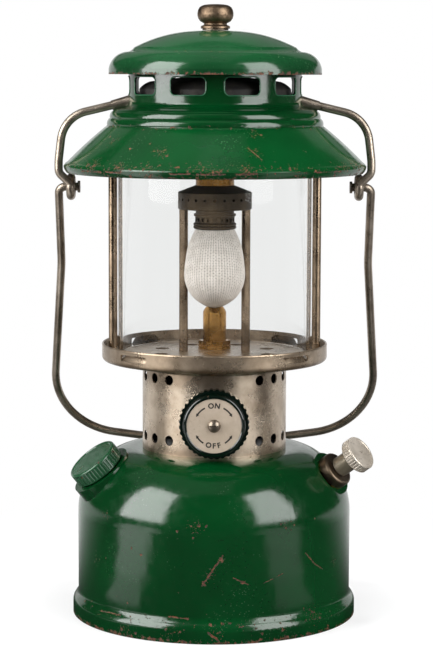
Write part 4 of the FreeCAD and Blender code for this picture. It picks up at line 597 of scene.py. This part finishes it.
def far_end(name, along):
    """The point on a node's own line that lies furthest along a direction."""
    item = nodes[name]
    corners = [item.matrix_world @ vert.co for vert in item.data.vertices]
    middle = (Vector(map(min, zip(*corners))) + Vector(map(max, zip(*corners)))) / 2
    return middle + along * (max(corner.dot(along) for corner in corners) - middle.dot(along))


# The pump knob is darker behind its disc, from this far along its axis, measured from its face.
PUMP_FACE = far_end("pump_knob", PUMP_AXIS)
PUMP_HUB = -0.0063
PUMP_HUB_COLOUR = (0.25, 0.21, 0.15)
# Between the inner and the outer radius of the collar's wall. Inside it the collar is painted near black, as
# shade.
COLLAR_INSIDE = 0.0397
NICKEL = (0.74, 0.61, 0.47)
NICKEL_DULL = (0.44, 0.33, 0.23)
# The scale of the brushing along x, y and z. A small number draws it out.
DRAWN_NICKEL = (1, 1, 0.05)
DRAWN_BRASS = (1, 1, 0.06)

# Rubbed rings of the enamel and darker brown rings of the nickel: height and half width in metres, share.
FOUNT_RUBBED = ((0.0005, 0.005, 0.30), (0.0095, 0.009, 0.20))
HOOD_RUBBED = ((0.2474, 0.005, 0.27), (0.2525, 0.010, 0.225), (0.2735, 0.004, 0.21))
CAP_RUBBED = ((0.3015, 0.004, 0.33), (0.3139, 0.004, 0.17))
# The collar's first ring is painted shadow under the tray; the second darkens its foot where it meets the
# tank.
COLLAR_DARK_BANDS = ((0.1465, 0.022, 0.9), (0.0936, 0.006, 0.5))
# Painted shade along the tray's lower edge.
TRAY_SHADE_BAND = ((0.1427, 0.004, 0.8),)

# Scratches and chips, placed in the front view: x, y, x, y in pixels and the half width in millimetres
# for a scratch, x, y and the half width for a chip.
FOUNT_MARKS = (
    (223, 556, 214, 568, 0.45), (214, 568, 202, 586, 0.45), (233.5, 578, 248, 584.5, 0.3),
    (264, 583, 283, 573.5, 0.25), (305.5, 553, 314.6, 563.6, 0.3), (314.6, 563.6, 322.4, 568.8, 0.3),
    (101, 611, 120, 615, 0.4), (169, 616.5, 188, 619, 0.4), (208, 633, 218, 640, 0.6),
    (221, 560, 1.2), (204, 584, 1.1), (243, 582, 0.9), (177, 531.5, 0.6), (191, 526, 0.6), (199, 526, 0.5),
    (206, 526, 0.6), (193, 538, 0.5), (107, 513, 0.5), (131.5, 548.5, 0.6), (141, 555, 0.6), (106, 558, 0.5),
    (281, 524, 0.6), (286, 528, 0.6), (294, 525, 0.5), (315, 518.5, 0.5), (127.5, 603, 0.5),
    (121.6, 629.6, 0.8), (135.4, 633.5, 0.8), (165.4, 629.6, 0.8), (180, 632, 0.9), (210, 625, 0.8),
    (304, 608, 0.6), (312, 612, 0.6), (320, 618, 0.6), (328, 625, 0.7), (262, 633.5, 0.8), (283, 629.6, 0.8),
)
HOOD_MARKS = (
    (248, 148, 262, 160, 0.3), (82, 171, 101, 172, 0.5), (106, 172, 120, 173, 0.5), (170, 174, 190, 174, 0.4),
    (197, 174.5, 225, 174.5, 0.5), (237, 174.5, 257, 174, 0.5), (317, 172.5, 340, 171.5, 0.4),
    (340, 171.5, 360, 169.5, 0.4),
    (110, 137, 0.6), (130, 149, 0.7), (150, 144, 0.5), (167, 156, 0.6), (252, 130, 0.5), (261, 135, 0.5),
)
# Places where small chips lie close together, given in the front view: x and y in pixels, radius in
# millimetres, share.
HOOD_PATCHES = (
    (92, 166, 11, 0.20), (118, 168, 10, 0.19), (150, 171, 11, 0.18), (205, 172, 15, 0.17),
    (248, 172, 13, 0.19), (300, 171, 10, 0.17), (345, 168, 10, 0.18), (112, 142, 9, 0.17),
    (160, 152, 10, 0.18), (255, 152, 8, 0.18), (118, 106, 8, 0.17), (254, 134, 7, 0.17), (310, 106, 8, 0.17),
)
FOUNT_PATCHES = (
    (195, 527, 9, 0.17), (105, 514, 7, 0.15), (288, 525, 9, 0.16), (125, 630, 12, 0.15),
    (170, 632, 10, 0.15), (218, 634, 9, 0.16), (312, 614, 12, 0.16), (334, 560, 7, 0.15),
    (97, 560, 8, 0.15), (210, 575, 8, 0.15),
)
FILLER_MARKS = ((98, 463, 0.8), (113, 452, 0.7), (82, 478, 0.6))


def marks_on(name, marks):
    """Marks on a node of the CAD model, from their places in the front view."""
    item = nodes[name]
    corners = [item.matrix_world @ vert.co for vert in item.data.vertices]
    tree = BVHTree.FromPolygons(corners, [tuple(face.vertices) for face in item.data.polygons])

    def spot(x, y):
        return tree.ray_cast(CAMERA_SPOT, pixel_ray(x, y))[0]

    found = []
    for mark in marks:
        ends = [spot(*mark[at:at + 2]) for at in range(0, len(mark) - 1, 2)]
        if None not in ends:
            found.append((ends[0], ends[1] if len(ends) > 1 else None, mark[-1] * MM))
    return found


def patches_on(name, patches):
    """Patches of small chips on a node, from their places in the front view."""
    found = []
    for x, y, radius, share in patches:
        marks = marks_on(name, ((x, y, radius),))
        found += [(middle, reach, share) for middle, _, reach in marks]
    return found


fount_enamel = enamel("fount_enamel", worn_heights=FOUNT_RUBBED, marks=marks_on("fount_body", FOUNT_MARKS),
                      patches=patches_on("fount_body", FOUNT_PATCHES), wear=1.1)
hood_enamel = enamel("hood_enamel", worn_heights=HOOD_RUBBED, marks=marks_on("hood", HOOD_MARKS),
                     patches=patches_on("hood", HOOD_PATCHES), wear=1.5)
cap_enamel = enamel("cap_enamel", colour=CAP_ENAMEL, worn_heights=CAP_RUBBED, wear=1.5)
cap_knob_enamel = enamel("filler_cap_enamel", colour=FILLER_ENAMEL, wear=2.5,
                         marks=marks_on("filler_cap", FILLER_MARKS))
knob_enamel = enamel("valve_knob_enamel", colour=KNOB_ENAMEL, wear=1.5)
nickel = metal("nickel_plate", NICKEL, NICKEL_DULL)
collar_nickel = metal("collar_nickel", (0.54, 0.45, 0.35), (0.33, 0.255, 0.185), (0.24, 0.34), metallic=0.75,
                      shade_within=COLLAR_INSIDE, dark_bands=COLLAR_DARK_BANDS)
tray_nickel = metal("tray_nickel", (0.375, 0.295, 0.215), (0.20, 0.148, 0.098), (0.24, 0.36), metallic=0.75,
                    dark_bands=TRAY_SHADE_BAND)
post_nickel = metal("post_nickel", (0.30, 0.225, 0.155), (0.11, 0.078, 0.050), (0.22, 0.36),
                    brushed=DRAWN_NICKEL)
burner_nickel = metal("burner_nickel", (0.085, 0.060, 0.035), (0.026, 0.018, 0.010), (0.38, 0.55),
                      metallic=0.8)
dial_nickel = metal("dial_nickel", (0.60, 0.50, 0.395), (0.48, 0.39, 0.295), (0.42, 0.50), speckle=0.25,
                    metallic=0.25)
wire_nickel = metal("wire_nickel", (0.40, 0.34, 0.275), (0.17, 0.138, 0.105), (0.28, 0.42), speckle=0.8,
                    metallic=0.85)
turned_nickel = metal("turned_nickel", (0.70, 0.63, 0.54), (0.44, 0.385, 0.315), (0.28, 0.40), speckle=0.6,
                      metallic=0.4, darkened=(PUMP_FACE, PUMP_AXIS, PUMP_HUB, PUMP_HUB_COLOUR))
bronze = metal("dark_bronze", (0.21, 0.160, 0.112), (0.085, 0.062, 0.042), (0.32, 0.46))
ball_bronze = metal("ball_bronze", (0.26, 0.185, 0.12), (0.075, 0.050, 0.033), (0.35, 0.5), grain=1.6,
                    speckle=0.95)
brass = metal("aged_brass", (0.50, 0.275, 0.085), (0.20, 0.100, 0.026), (0.20, 0.32), brushed=DRAWN_BRASS)
chamber_brass = metal("sooty_brass", (0.27, 0.140, 0.036), (0.105, 0.048, 0.010), (0.22, 0.34),
                      brushed=DRAWN_BRASS)
washer_steel = metal("dark_steel", (0.17, 0.135, 0.10), (0.07, 0.053, 0.038), (0.40, 0.55))
steel = metal("dull_steel", (0.40, 0.37, 0.33), (0.24, 0.21, 0.18), (0.35, 0.5))
# Near black for the vent baffle: soot, plus painted shade that keeps the inside of the hood dark through its
# windows.
soot_and_shade = plain("soot_and_shade_steel", (0.010, 0.009, 0.008), (0.030, 0.025, 0.020), 0.7, 220)
knit = plain("mantle_knit", (0.80, 0.74, 0.665), (0.93, 0.87, 0.80), 0.9, 300)
# Painted shade: the dark floor of each stitch's dimple stands in for the shade seen through the knit's holes.
knit_hole_shade = plain("mantle_hole_shade", (0.22, 0.185, 0.15), (0.34, 0.29, 0.24), 0.9, 300)
leather = plain("oiled_leather", (0.10, 0.05, 0.022), (0.19, 0.10, 0.045), 0.6, 240)
rubber = plain("black_rubber", (0.012, 0.012, 0.012), (0.03, 0.03, 0.03), 0.7, 300)

dress(fount_enamel, "fount_body", "fount_bottom")
dress(hood_enamel, "hood")
dress(cap_enamel, "ventilator_cap")
dress(cap_knob_enamel, "filler_cap")
dress(knob_enamel, "valve_knob")
dress(collar_nickel, "collar")
dress(tray_nickel, "tray")
dress(nickel, "top_ring")
dress(post_nickel, "outer_post_left", "outer_post_right", "burner_post_left", "burner_post_right")
dress(burner_nickel, "burner_drum", "burner_nozzle")
dress(dial_nickel, "knob_dial")
dress(wire_nickel, "bail", "bail_ear_left", "bail_ear_right", "ear_ferrules", "knob_screw")
dress(turned_nickel, "pump_knob")
dress(bronze, "pump_cap")
dress(ball_bronze, "ball_nut")
dress(brass, "generator_tube", "generator_nut", "gas_jet", "valve_body", "valve_plug",
      "packing_nut", "valve_stem", "outlet_bush", "filler_neck", "pump_barrel", "check_valve", "pickup_tube",
      "pickup_foot", "cleaner_cam")
dress(chamber_brass, "mixing_chamber")
# The baffle takes the near black of soot and painted shade.
dress(soot_and_shade, "vent_baffle")
dress(washer_steel, "ball_nut_washer")
dress(steel, "vent_stud", "ring_nuts", "burner_post_nuts", "pump_rod",
      "pump_cup_washer", "air_stem", "cleaner_rod")
dress(knit, "mantle")
dress(leather, "pump_cup")
dress(rubber, "filler_gasket")
dress(glass_material(), "globe")

SHARP_EDGE = math.radians(32)
for item in nodes.values():
    for polygon in item.data.polygons:
        polygon.use_smooth = True
    item.data.set_sharp_from_angle(angle=SHARP_EDGE)


# ---------------------------------------------------------------- mesh kit

def add_piece(name, points, faces, material, body, smooth=True, replaced=()):
    """A mesh piece in millimetres that rides on a body."""
    mesh = bpy.data.meshes.new(name)
    mesh.from_pydata([tuple(c * MM for c in point) for point in points], [], faces)
    mesh.materials.append(material)
    mesh.update()
    item = bpy.data.objects.new(name, mesh)
    scene.collection.objects.link(item)
    for polygon in mesh.polygons:
        polygon.use_smooth = smooth
    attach(item, body)
    if replaced:
        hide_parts(*replaced)
    return item


def tube_along(points, radius, sides):
    """Points and faces of a round tube along a loop, in millimetres."""
    path = [Vector(point) for point in points]
    count = len(path)
    verts = []
    faces = []
    normal = None
    for place, point in enumerate(path):
        along = (path[(place + 1) % count] - path[(place - 1) % count]).normalized()
        if normal is None:
            normal = along.orthogonal().normalized()
        normal = (normal - along * normal.dot(along)).normalized()
        side = along.cross(normal)
        for step in range(sides):
            angle = 2 * math.pi * step / sides
            verts.append(point + (normal * math.cos(angle) + side * math.sin(angle)) * radius)
    for place in range(count):
        for step in range(sides):
            a = place * sides + step
            b = place * sides + (step + 1) % sides
            c = ((place + 1) % count) * sides + (step + 1) % sides
            d = ((place + 1) % count) * sides + step
            faces.append((a, b, c, d))
    return verts, faces


CURVE_STEPS = 24


def smooth_curve(points, count):
    """Points of a Catmull-Rom curve through 2-D points, evenly spaced along it."""
    padded = [points[0]] + list(points) + [points[-1]]
    fine = []
    for place in range(1, len(padded) - 2):
        p0, p1, p2, p3 = (Vector(p) for p in padded[place - 1:place + 3])
        for step in range(CURVE_STEPS):
            t = step / CURVE_STEPS
            fine.append(0.5 * (2 * p1 + (p2 - p0) * t + (2 * p0 - 5 * p1 + 4 * p2 - p3) * t ** 2
                               + (3 * p1 - p0 - 3 * p2 + p3) * t ** 3))
    fine.append(Vector(points[-1]))
    length = [0.0]
    for a, b in zip(fine, fine[1:]):
        length.append(length[-1] + (b - a).length)
    even = []
    at = 0
    for step in range(count):
        want = length[-1] * step / (count - 1)
        while at < len(length) - 2 and length[at + 1] < want:
            at += 1
        gap = length[at + 1] - length[at]
        even.append(fine[at].lerp(fine[at + 1], (want - length[at]) / gap if gap else 0))
    return even


# ---------------------------------------------------------------- mantle

MANTLE_PROFILE = [(0.8, 173.1), (4.6, 173.9), (8.4, 176.0), (12.2, 179.2), (15.2, 184.0), (16.55, 189.0),
                  (16.6, 194.0), (15.5, 203.0), (14.1, 208.8), (12.2, 213.2), (10.5, 216.4)]
MANTLE_Y = -9.0
KNIT_COLUMNS = 64
KNIT_ROWS = 58
KNIT_LIFT = 0.16
KNIT_DEPTH = 0.35
# A hole's share of its stitch, and what that share is multiplied by at least, and how much more at most.
KNIT_HOLE = 0.40
HOLE_LEAST, HOLE_MORE = 0.60, 0.65
# The rim of a stitch: steps across, steps up, lift.
STITCH_RIM = ((0, 0, KNIT_LIFT), (1, 0, 0.0), (2, 0, KNIT_LIFT), (2, 1, KNIT_LIFT), (2, 2, KNIT_LIFT),
              (1, 2, 0.0), (0, 2, KNIT_LIFT), (0, 1, KNIT_LIFT))
HOLE_WANDER = 0.30
# Angles to the stitch and to the course that keep the holes from lining up.
WANDER_TURN = (12.9898, 78.233)
UNEVEN_TURN = (39.346, 11.135)
PLEATS = 16
PLEAT_DEPTH = 0.22
PLEAT_FOOT, PLEAT_RISE = 203.0, 13.4
FOOT_DROP = 0.15


def knit_mantle():
    """The mantle as a closed knit: each stitch is a small dimple, in columns that close up at the neck."""
    profile = smooth_curve(MANTLE_PROFILE, 2 * KNIT_ROWS + 1)
    around = 2 * KNIT_COLUMNS

    def point(column, row, lift):
        radius, z = profile[row]
        below = profile[max(row - 1, 0)]
        above = profile[min(row + 1, len(profile) - 1)]
        slope = Vector((above[1] - below[1], below[0] - above[0])).normalized()
        angle = 2 * math.pi * column / around
        pleat = PLEAT_DEPTH * math.sin(angle * PLEATS) * max(0.0, (z - PLEAT_FOOT) / PLEAT_RISE) ** 2
        out = radius + slope[0] * lift + pleat
        return (out * math.cos(angle), MANTLE_Y + out * math.sin(angle), z + slope[1] * lift)

    verts = []
    faces = []
    index = {}

    def vertex(column, row, lift):
        key = (column % around, row)
        if key not in index:
            index[key] = len(verts)
            verts.append(point(column, row, lift))
        return index[key]

    for stitch in range(KNIT_COLUMNS):
        for course in range(KNIT_ROWS):
            low = 2 * course
            left = 2 * stitch
            rim = [vertex(left + across, low + up, lift) for across, up, lift in STITCH_RIM]
            wander = HOLE_WANDER * math.sin(stitch * WANDER_TURN[0] + course * WANDER_TURN[1])
            uneven = abs(math.sin(stitch * UNEVEN_TURN[0] + course * UNEVEN_TURN[1]))
            hole = KNIT_HOLE * (HOLE_LEAST + HOLE_MORE * uneven)
            middle = Vector(point(left + 1 + wander, low + 1, -KNIT_DEPTH))
            pit = []
            for corner in rim:
                pit.append(len(verts))
                verts.append(tuple(middle.lerp(Vector(verts[corner]), hole)))
            for place in range(len(rim)):
                after = (place + 1) % len(rim)
                faces.append((rim[place], rim[after], pit[after], pit[place]))
            faces.append(tuple(pit))
    foot = len(verts)
    verts.append((0, MANTLE_Y, MANTLE_PROFILE[0][1] - FOOT_DROP))
    for column in range(around):
        faces.append((foot, vertex(column + 1, 0, 0), vertex(column, 0, 0)))
    piece = add_piece("mantle_knitted", verts, faces, knit, "base", replaced=("mantle",))
    # The floors of the dimples take the painted shade.
    piece.data.materials.append(knit_hole_shade)
    for polygon in piece.data.polygons:
        if len(polygon.vertices) == len(STITCH_RIM):
            polygon.material_index = 1
    return piece


knit_mantle()


# ---------------------------------------------------------------- dial marks

DIAL_CENTRE = Vector((0, -56.7, 114.0))
DIAL_MARK_RADIUS = 10.9
DIAL_MARK_RISE = 0.05
DIAL_MARK_THICK = 1.4 * DIAL_MARK_RISE
LETTER_SIZE = 3.9
LETTER_BOLD = 0.15
LETTER_STEPS = 6
ARROW_STEPS = 14
ARROW_HALF = 0.42
ARROW_HEAD_HALF = 0.95
# Degrees that an arrow's head reaches beyond the end of its shaft, and back over it.
ARROW_TIP, ARROW_BACK = 7, 2
# Letters: the letter, its place in degrees clockwise from the top, and whether its foot points to the centre.
DIAL_LETTERS = (("O", -9, True), ("N", 9, True), ("O", 196, False), ("F", 180, False), ("F", 166, False))
# Arrows: start and end in degrees, and whether the head is at the start.
DIAL_ARROWS = ((-56, -27, True), (27, 56, False), (124, 148, True), (212, 236, False))


def dial_point(radius, angle):
    """A point just above the dial, its angle in degrees clockwise from the top."""
    turn = math.radians(angle)
    return (DIAL_CENTRE.x + radius * math.sin(turn), DIAL_CENTRE.y - DIAL_MARK_RISE,
            DIAL_CENTRE.z + radius * math.cos(turn))


def dial_letter(letter, angle, upright):
    """One letter on the dial's circle, as flat points and faces. upright: its foot points to the centre."""
    curve = bpy.data.curves.new("letter", "FONT")
    curve.body = letter
    curve.size = LETTER_SIZE
    curve.align_x = "CENTER"
    curve.align_y = "CENTER"
    curve.offset = LETTER_BOLD
    curve.resolution_u = LETTER_STEPS
    holder = bpy.data.objects.new("letter", curve)
    scene.collection.objects.link(holder)
    bpy.context.view_layer.update()
    mesh = bpy.data.meshes.new_from_object(holder)
    turn = math.radians(angle)
    if not upright:
        turn += math.pi
    centre = Vector(dial_point(DIAL_MARK_RADIUS, angle))
    points = []
    for vert in mesh.vertices:
        x, y = vert.co.x, vert.co.y
        points.append((centre.x + x * math.cos(turn) + y * math.sin(turn), centre.y,
                       centre.z - x * math.sin(turn) + y * math.cos(turn)))
    faces = [tuple(polygon.vertices) for polygon in mesh.polygons]
    bpy.data.objects.remove(holder)
    bpy.data.curves.remove(curve)
    bpy.data.meshes.remove(mesh)
    return points, faces


def dial_arrow(start, end, head_first):
    """A curved arrow from start to end degrees, with its head at the end or at the start."""
    points = []
    faces = []
    for step in range(ARROW_STEPS + 1):
        angle = start + (end - start) * step / ARROW_STEPS
        points.append(dial_point(DIAL_MARK_RADIUS - ARROW_HALF, angle))
        points.append(dial_point(DIAL_MARK_RADIUS + ARROW_HALF, angle))
    for step in range(ARROW_STEPS):
        a = 2 * step
        faces.append((a, a + 1, a + 3, a + 2))
    tip = start if head_first else end
    back = 1 if (tip == start) == (end > start) else -1
    first = len(points)
    points.append(dial_point(DIAL_MARK_RADIUS, tip - back * ARROW_TIP))
    points.append(dial_point(DIAL_MARK_RADIUS - ARROW_HEAD_HALF, tip + back * ARROW_BACK))
    points.append(dial_point(DIAL_MARK_RADIUS + ARROW_HEAD_HALF, tip + back * ARROW_BACK))
    faces.append((first, first + 1, first + 2))
    return points, faces


def dial_marks():
    """The dial's words and arrows, as thin raised ink."""
    parts = [dial_letter(*letter) for letter in DIAL_LETTERS] + [dial_arrow(*arrow) for arrow in DIAL_ARROWS]
    points = []
    faces = []
    for more_points, more_faces in parts:
        first = len(points)
        points += more_points
        faces += [tuple(first + corner for corner in face) for face in more_faces]
    back = len(points)
    points += [(x, y + DIAL_MARK_THICK, z) for x, y, z in points]
    edges = {}
    for face in faces:
        for edge in zip(face, face[1:] + face[:1]):
            edges[edge] = True
    for a, b in list(edges):
        if (b, a) not in edges:
            faces.append((b, a, a + back, b + back))
    ink = plain("dial_ink", (0.012, 0.010, 0.009), (0.03, 0.025, 0.02), 0.5, 300)
    return add_piece("dial_marks", points, faces, ink, "valve", smooth=False)


dial_marks()


# ---------------------------------------------------------------- window edges

WINDOW_RADIUS = 47.95
WINDOW_LOW, WINDOW_HIGH, WINDOW_HALF, WINDOW_CORNER = 290.3, 300.3, 10.0, 2.8
WINDOWS = 10
WINDOW_PITCH = 360 // WINDOWS
EDGE_RADIUS = 0.38
EDGE_SIDES = 8
CORNER_STEPS = 5
CORNER_STEP = 90 // CORNER_STEPS
# A straight run longer than this is split, so that it follows the hood's curve.
LONG_RUN = 4
RUN_STEPS = 6


def window_edges():
    """A thin rolled edge round each window of the hood."""
    outline = []
    corners = ((WINDOW_HALF - WINDOW_CORNER, WINDOW_LOW + WINDOW_CORNER, -90),
               (WINDOW_HALF - WINDOW_CORNER, WINDOW_HIGH - WINDOW_CORNER, 0),
               (WINDOW_CORNER - WINDOW_HALF, WINDOW_HIGH - WINDOW_CORNER, 90),
               (WINDOW_CORNER - WINDOW_HALF, WINDOW_LOW + WINDOW_CORNER, 180))
    for centre_x, centre_z, start in corners:
        for step in range(CORNER_STEPS + 1):
            angle = math.radians(start + CORNER_STEP * step)
            outline.append((centre_x + WINDOW_CORNER * math.cos(angle),
                            centre_z + WINDOW_CORNER * math.sin(angle)))
    rich = []
    for place, (x, z) in enumerate(outline):
        next_x = outline[(place + 1) % len(outline)][0]
        rich.append((x, z))
        if abs(next_x - x) > LONG_RUN:
            rich += [(x + (next_x - x) * k / RUN_STEPS, z) for k in range(1, RUN_STEPS)]
    verts = []
    faces = []
    for window in range(WINDOWS):
        turn = math.radians(WINDOW_PITCH / 2 + WINDOW_PITCH * window)
        path = []
        for x, z in rich:
            depth = math.sqrt(WINDOW_RADIUS ** 2 - x * x)
            path.append((x * math.cos(turn) + depth * math.sin(turn),
                         x * math.sin(turn) - depth * math.cos(turn), z))
        more_verts, more_faces = tube_along(path, EDGE_RADIUS, EDGE_SIDES)
        first = len(verts)
        verts += more_verts
        faces += [tuple(first + corner for corner in face) for face in more_faces]
    # The rolled edges are painted lighter, as a highlight, and worn in chips.
    edge = enamel("window_edge_highlight_enamel", colour=EDGE_HIGHLIGHT_ENAMEL, wear=3.0)
    return add_piece("window_edges", verts, faces, edge, "hood")


window_edges()


# ---------------------------------------------------------------- ball nut

BALL_PROFILE = [(2.7, 326.62), (7.7, 326.62), (8.05, 326.95), (8.05, 327.7), (7.6, 328.15), (6.6, 328.55),
                (6.35, 329.1), (6.6, 329.6), (8.2, 330.5), (9.35, 332.0), (9.85, 333.6), (9.9, 334.8),
                (9.6, 336.6), (8.7, 338.2), (7.2, 339.2), (5.4, 339.65), (3.0, 339.9), (0.01, 340.0)]
BALL_STEPS = 132
BALL_ROWS = 150
# The knurl starts at this height and ends at this radius, and fades in over the second number.
KNURL_FOOT, KNURL_FADE = 330.2, 0.8
KNURL_TOP_RADIUS, KNURL_TOP_FADE = 3.2, 2.5
KNURL_TEETH = 22
KNURL_SLANT = 2.1
KNURL_DEPTH = 0.34
KNURL_SHARP = 0.6
KNURL_LEVEL = 0.75


def knurled_ball():
    """The ball nut with the worn diamond knurl round its ball."""
    profile = smooth_curve(BALL_PROFILE, BALL_ROWS)
    verts = []
    faces = []
    for row, (radius, z) in enumerate(profile):
        for step in range(BALL_STEPS):
            angle = 2 * math.pi * step / BALL_STEPS
            depth = 0.0
            if z > KNURL_FOOT and radius > KNURL_TOP_RADIUS:
                share = min(1.0, (z - KNURL_FOOT) / KNURL_FADE, (radius - KNURL_TOP_RADIUS) / KNURL_TOP_FADE)
                slant = z * KNURL_SLANT
                wave = math.cos(KNURL_TEETH * angle + slant) * math.cos(KNURL_TEETH * angle - slant)
                depth = KNURL_DEPTH * share * (abs(wave) ** KNURL_SHARP - KNURL_LEVEL)
            out = radius + depth
            verts.append((out * math.cos(angle), out * math.sin(angle), z))
    for row in range(len(profile) - 1):
        for step in range(BALL_STEPS):
            a = row * BALL_STEPS + step
            b = row * BALL_STEPS + (step + 1) % BALL_STEPS
            faces.append((a, b, b + BALL_STEPS, a + BALL_STEPS))
    return add_piece("ball_nut_knurled", verts, faces, ball_bronze, "ball_nut",
                     replaced=("ball_nut",))


knurled_ball()


# ---------------------------------------------------------------- louvres behind the tray's slots

LOUVRE_LOW = (61.75, 146.1)
LOUVRE_HIGH = (59.3, 151.2)
LOUVRE_WALL = 0.6
LOUVRE_TURN = 10.2
LOUVRES = 4
LOUVRE_FIRST, LOUVRE_PITCH = 45, 90
LOUVRE_STEPS = 14
# A tongue's upper edge is level over the first share of its half length, then drops over the rest.
LOUVRE_FLAT, LOUVRE_BEND = 0.72, 0.28
LOUVRE_DROP = 2.2


def tray_louvres():
    """The tongue of sheet that leans inwards behind each air slot of the tray."""
    verts = []
    faces = []
    for slot in range(LOUVRES):
        first = len(verts)
        for step in range(LOUVRE_STEPS + 1):
            share = 2 * step / LOUVRE_STEPS - 1
            turn = math.radians(LOUVRE_FIRST + LOUVRE_PITCH * slot + LOUVRE_TURN * share)
            drop = LOUVRE_DROP * max(0.0, abs(share) - LOUVRE_FLAT) / LOUVRE_BEND
            for radius, z in (LOUVRE_LOW, (LOUVRE_HIGH[0], LOUVRE_HIGH[1] - drop),
                              (LOUVRE_HIGH[0] - LOUVRE_WALL, LOUVRE_HIGH[1] - drop),
                              (LOUVRE_LOW[0] - LOUVRE_WALL, LOUVRE_LOW[1])):
                verts.append((radius * math.cos(turn), radius * math.sin(turn), z))
        for step in range(LOUVRE_STEPS):
            for side in range(4):
                a = first + 4 * step + side
                b = first + 4 * step + (side + 1) % 4
                faces.append((a, a + 4, b + 4, b))
        faces.append(tuple(first + side for side in range(4)))
        faces.append(tuple(first + 4 * LOUVRE_STEPS + side for side in range(4))[::-1])
    return add_piece("tray_louvres", verts, faces, tray_nickel, "base", smooth=False)


tray_louvres()
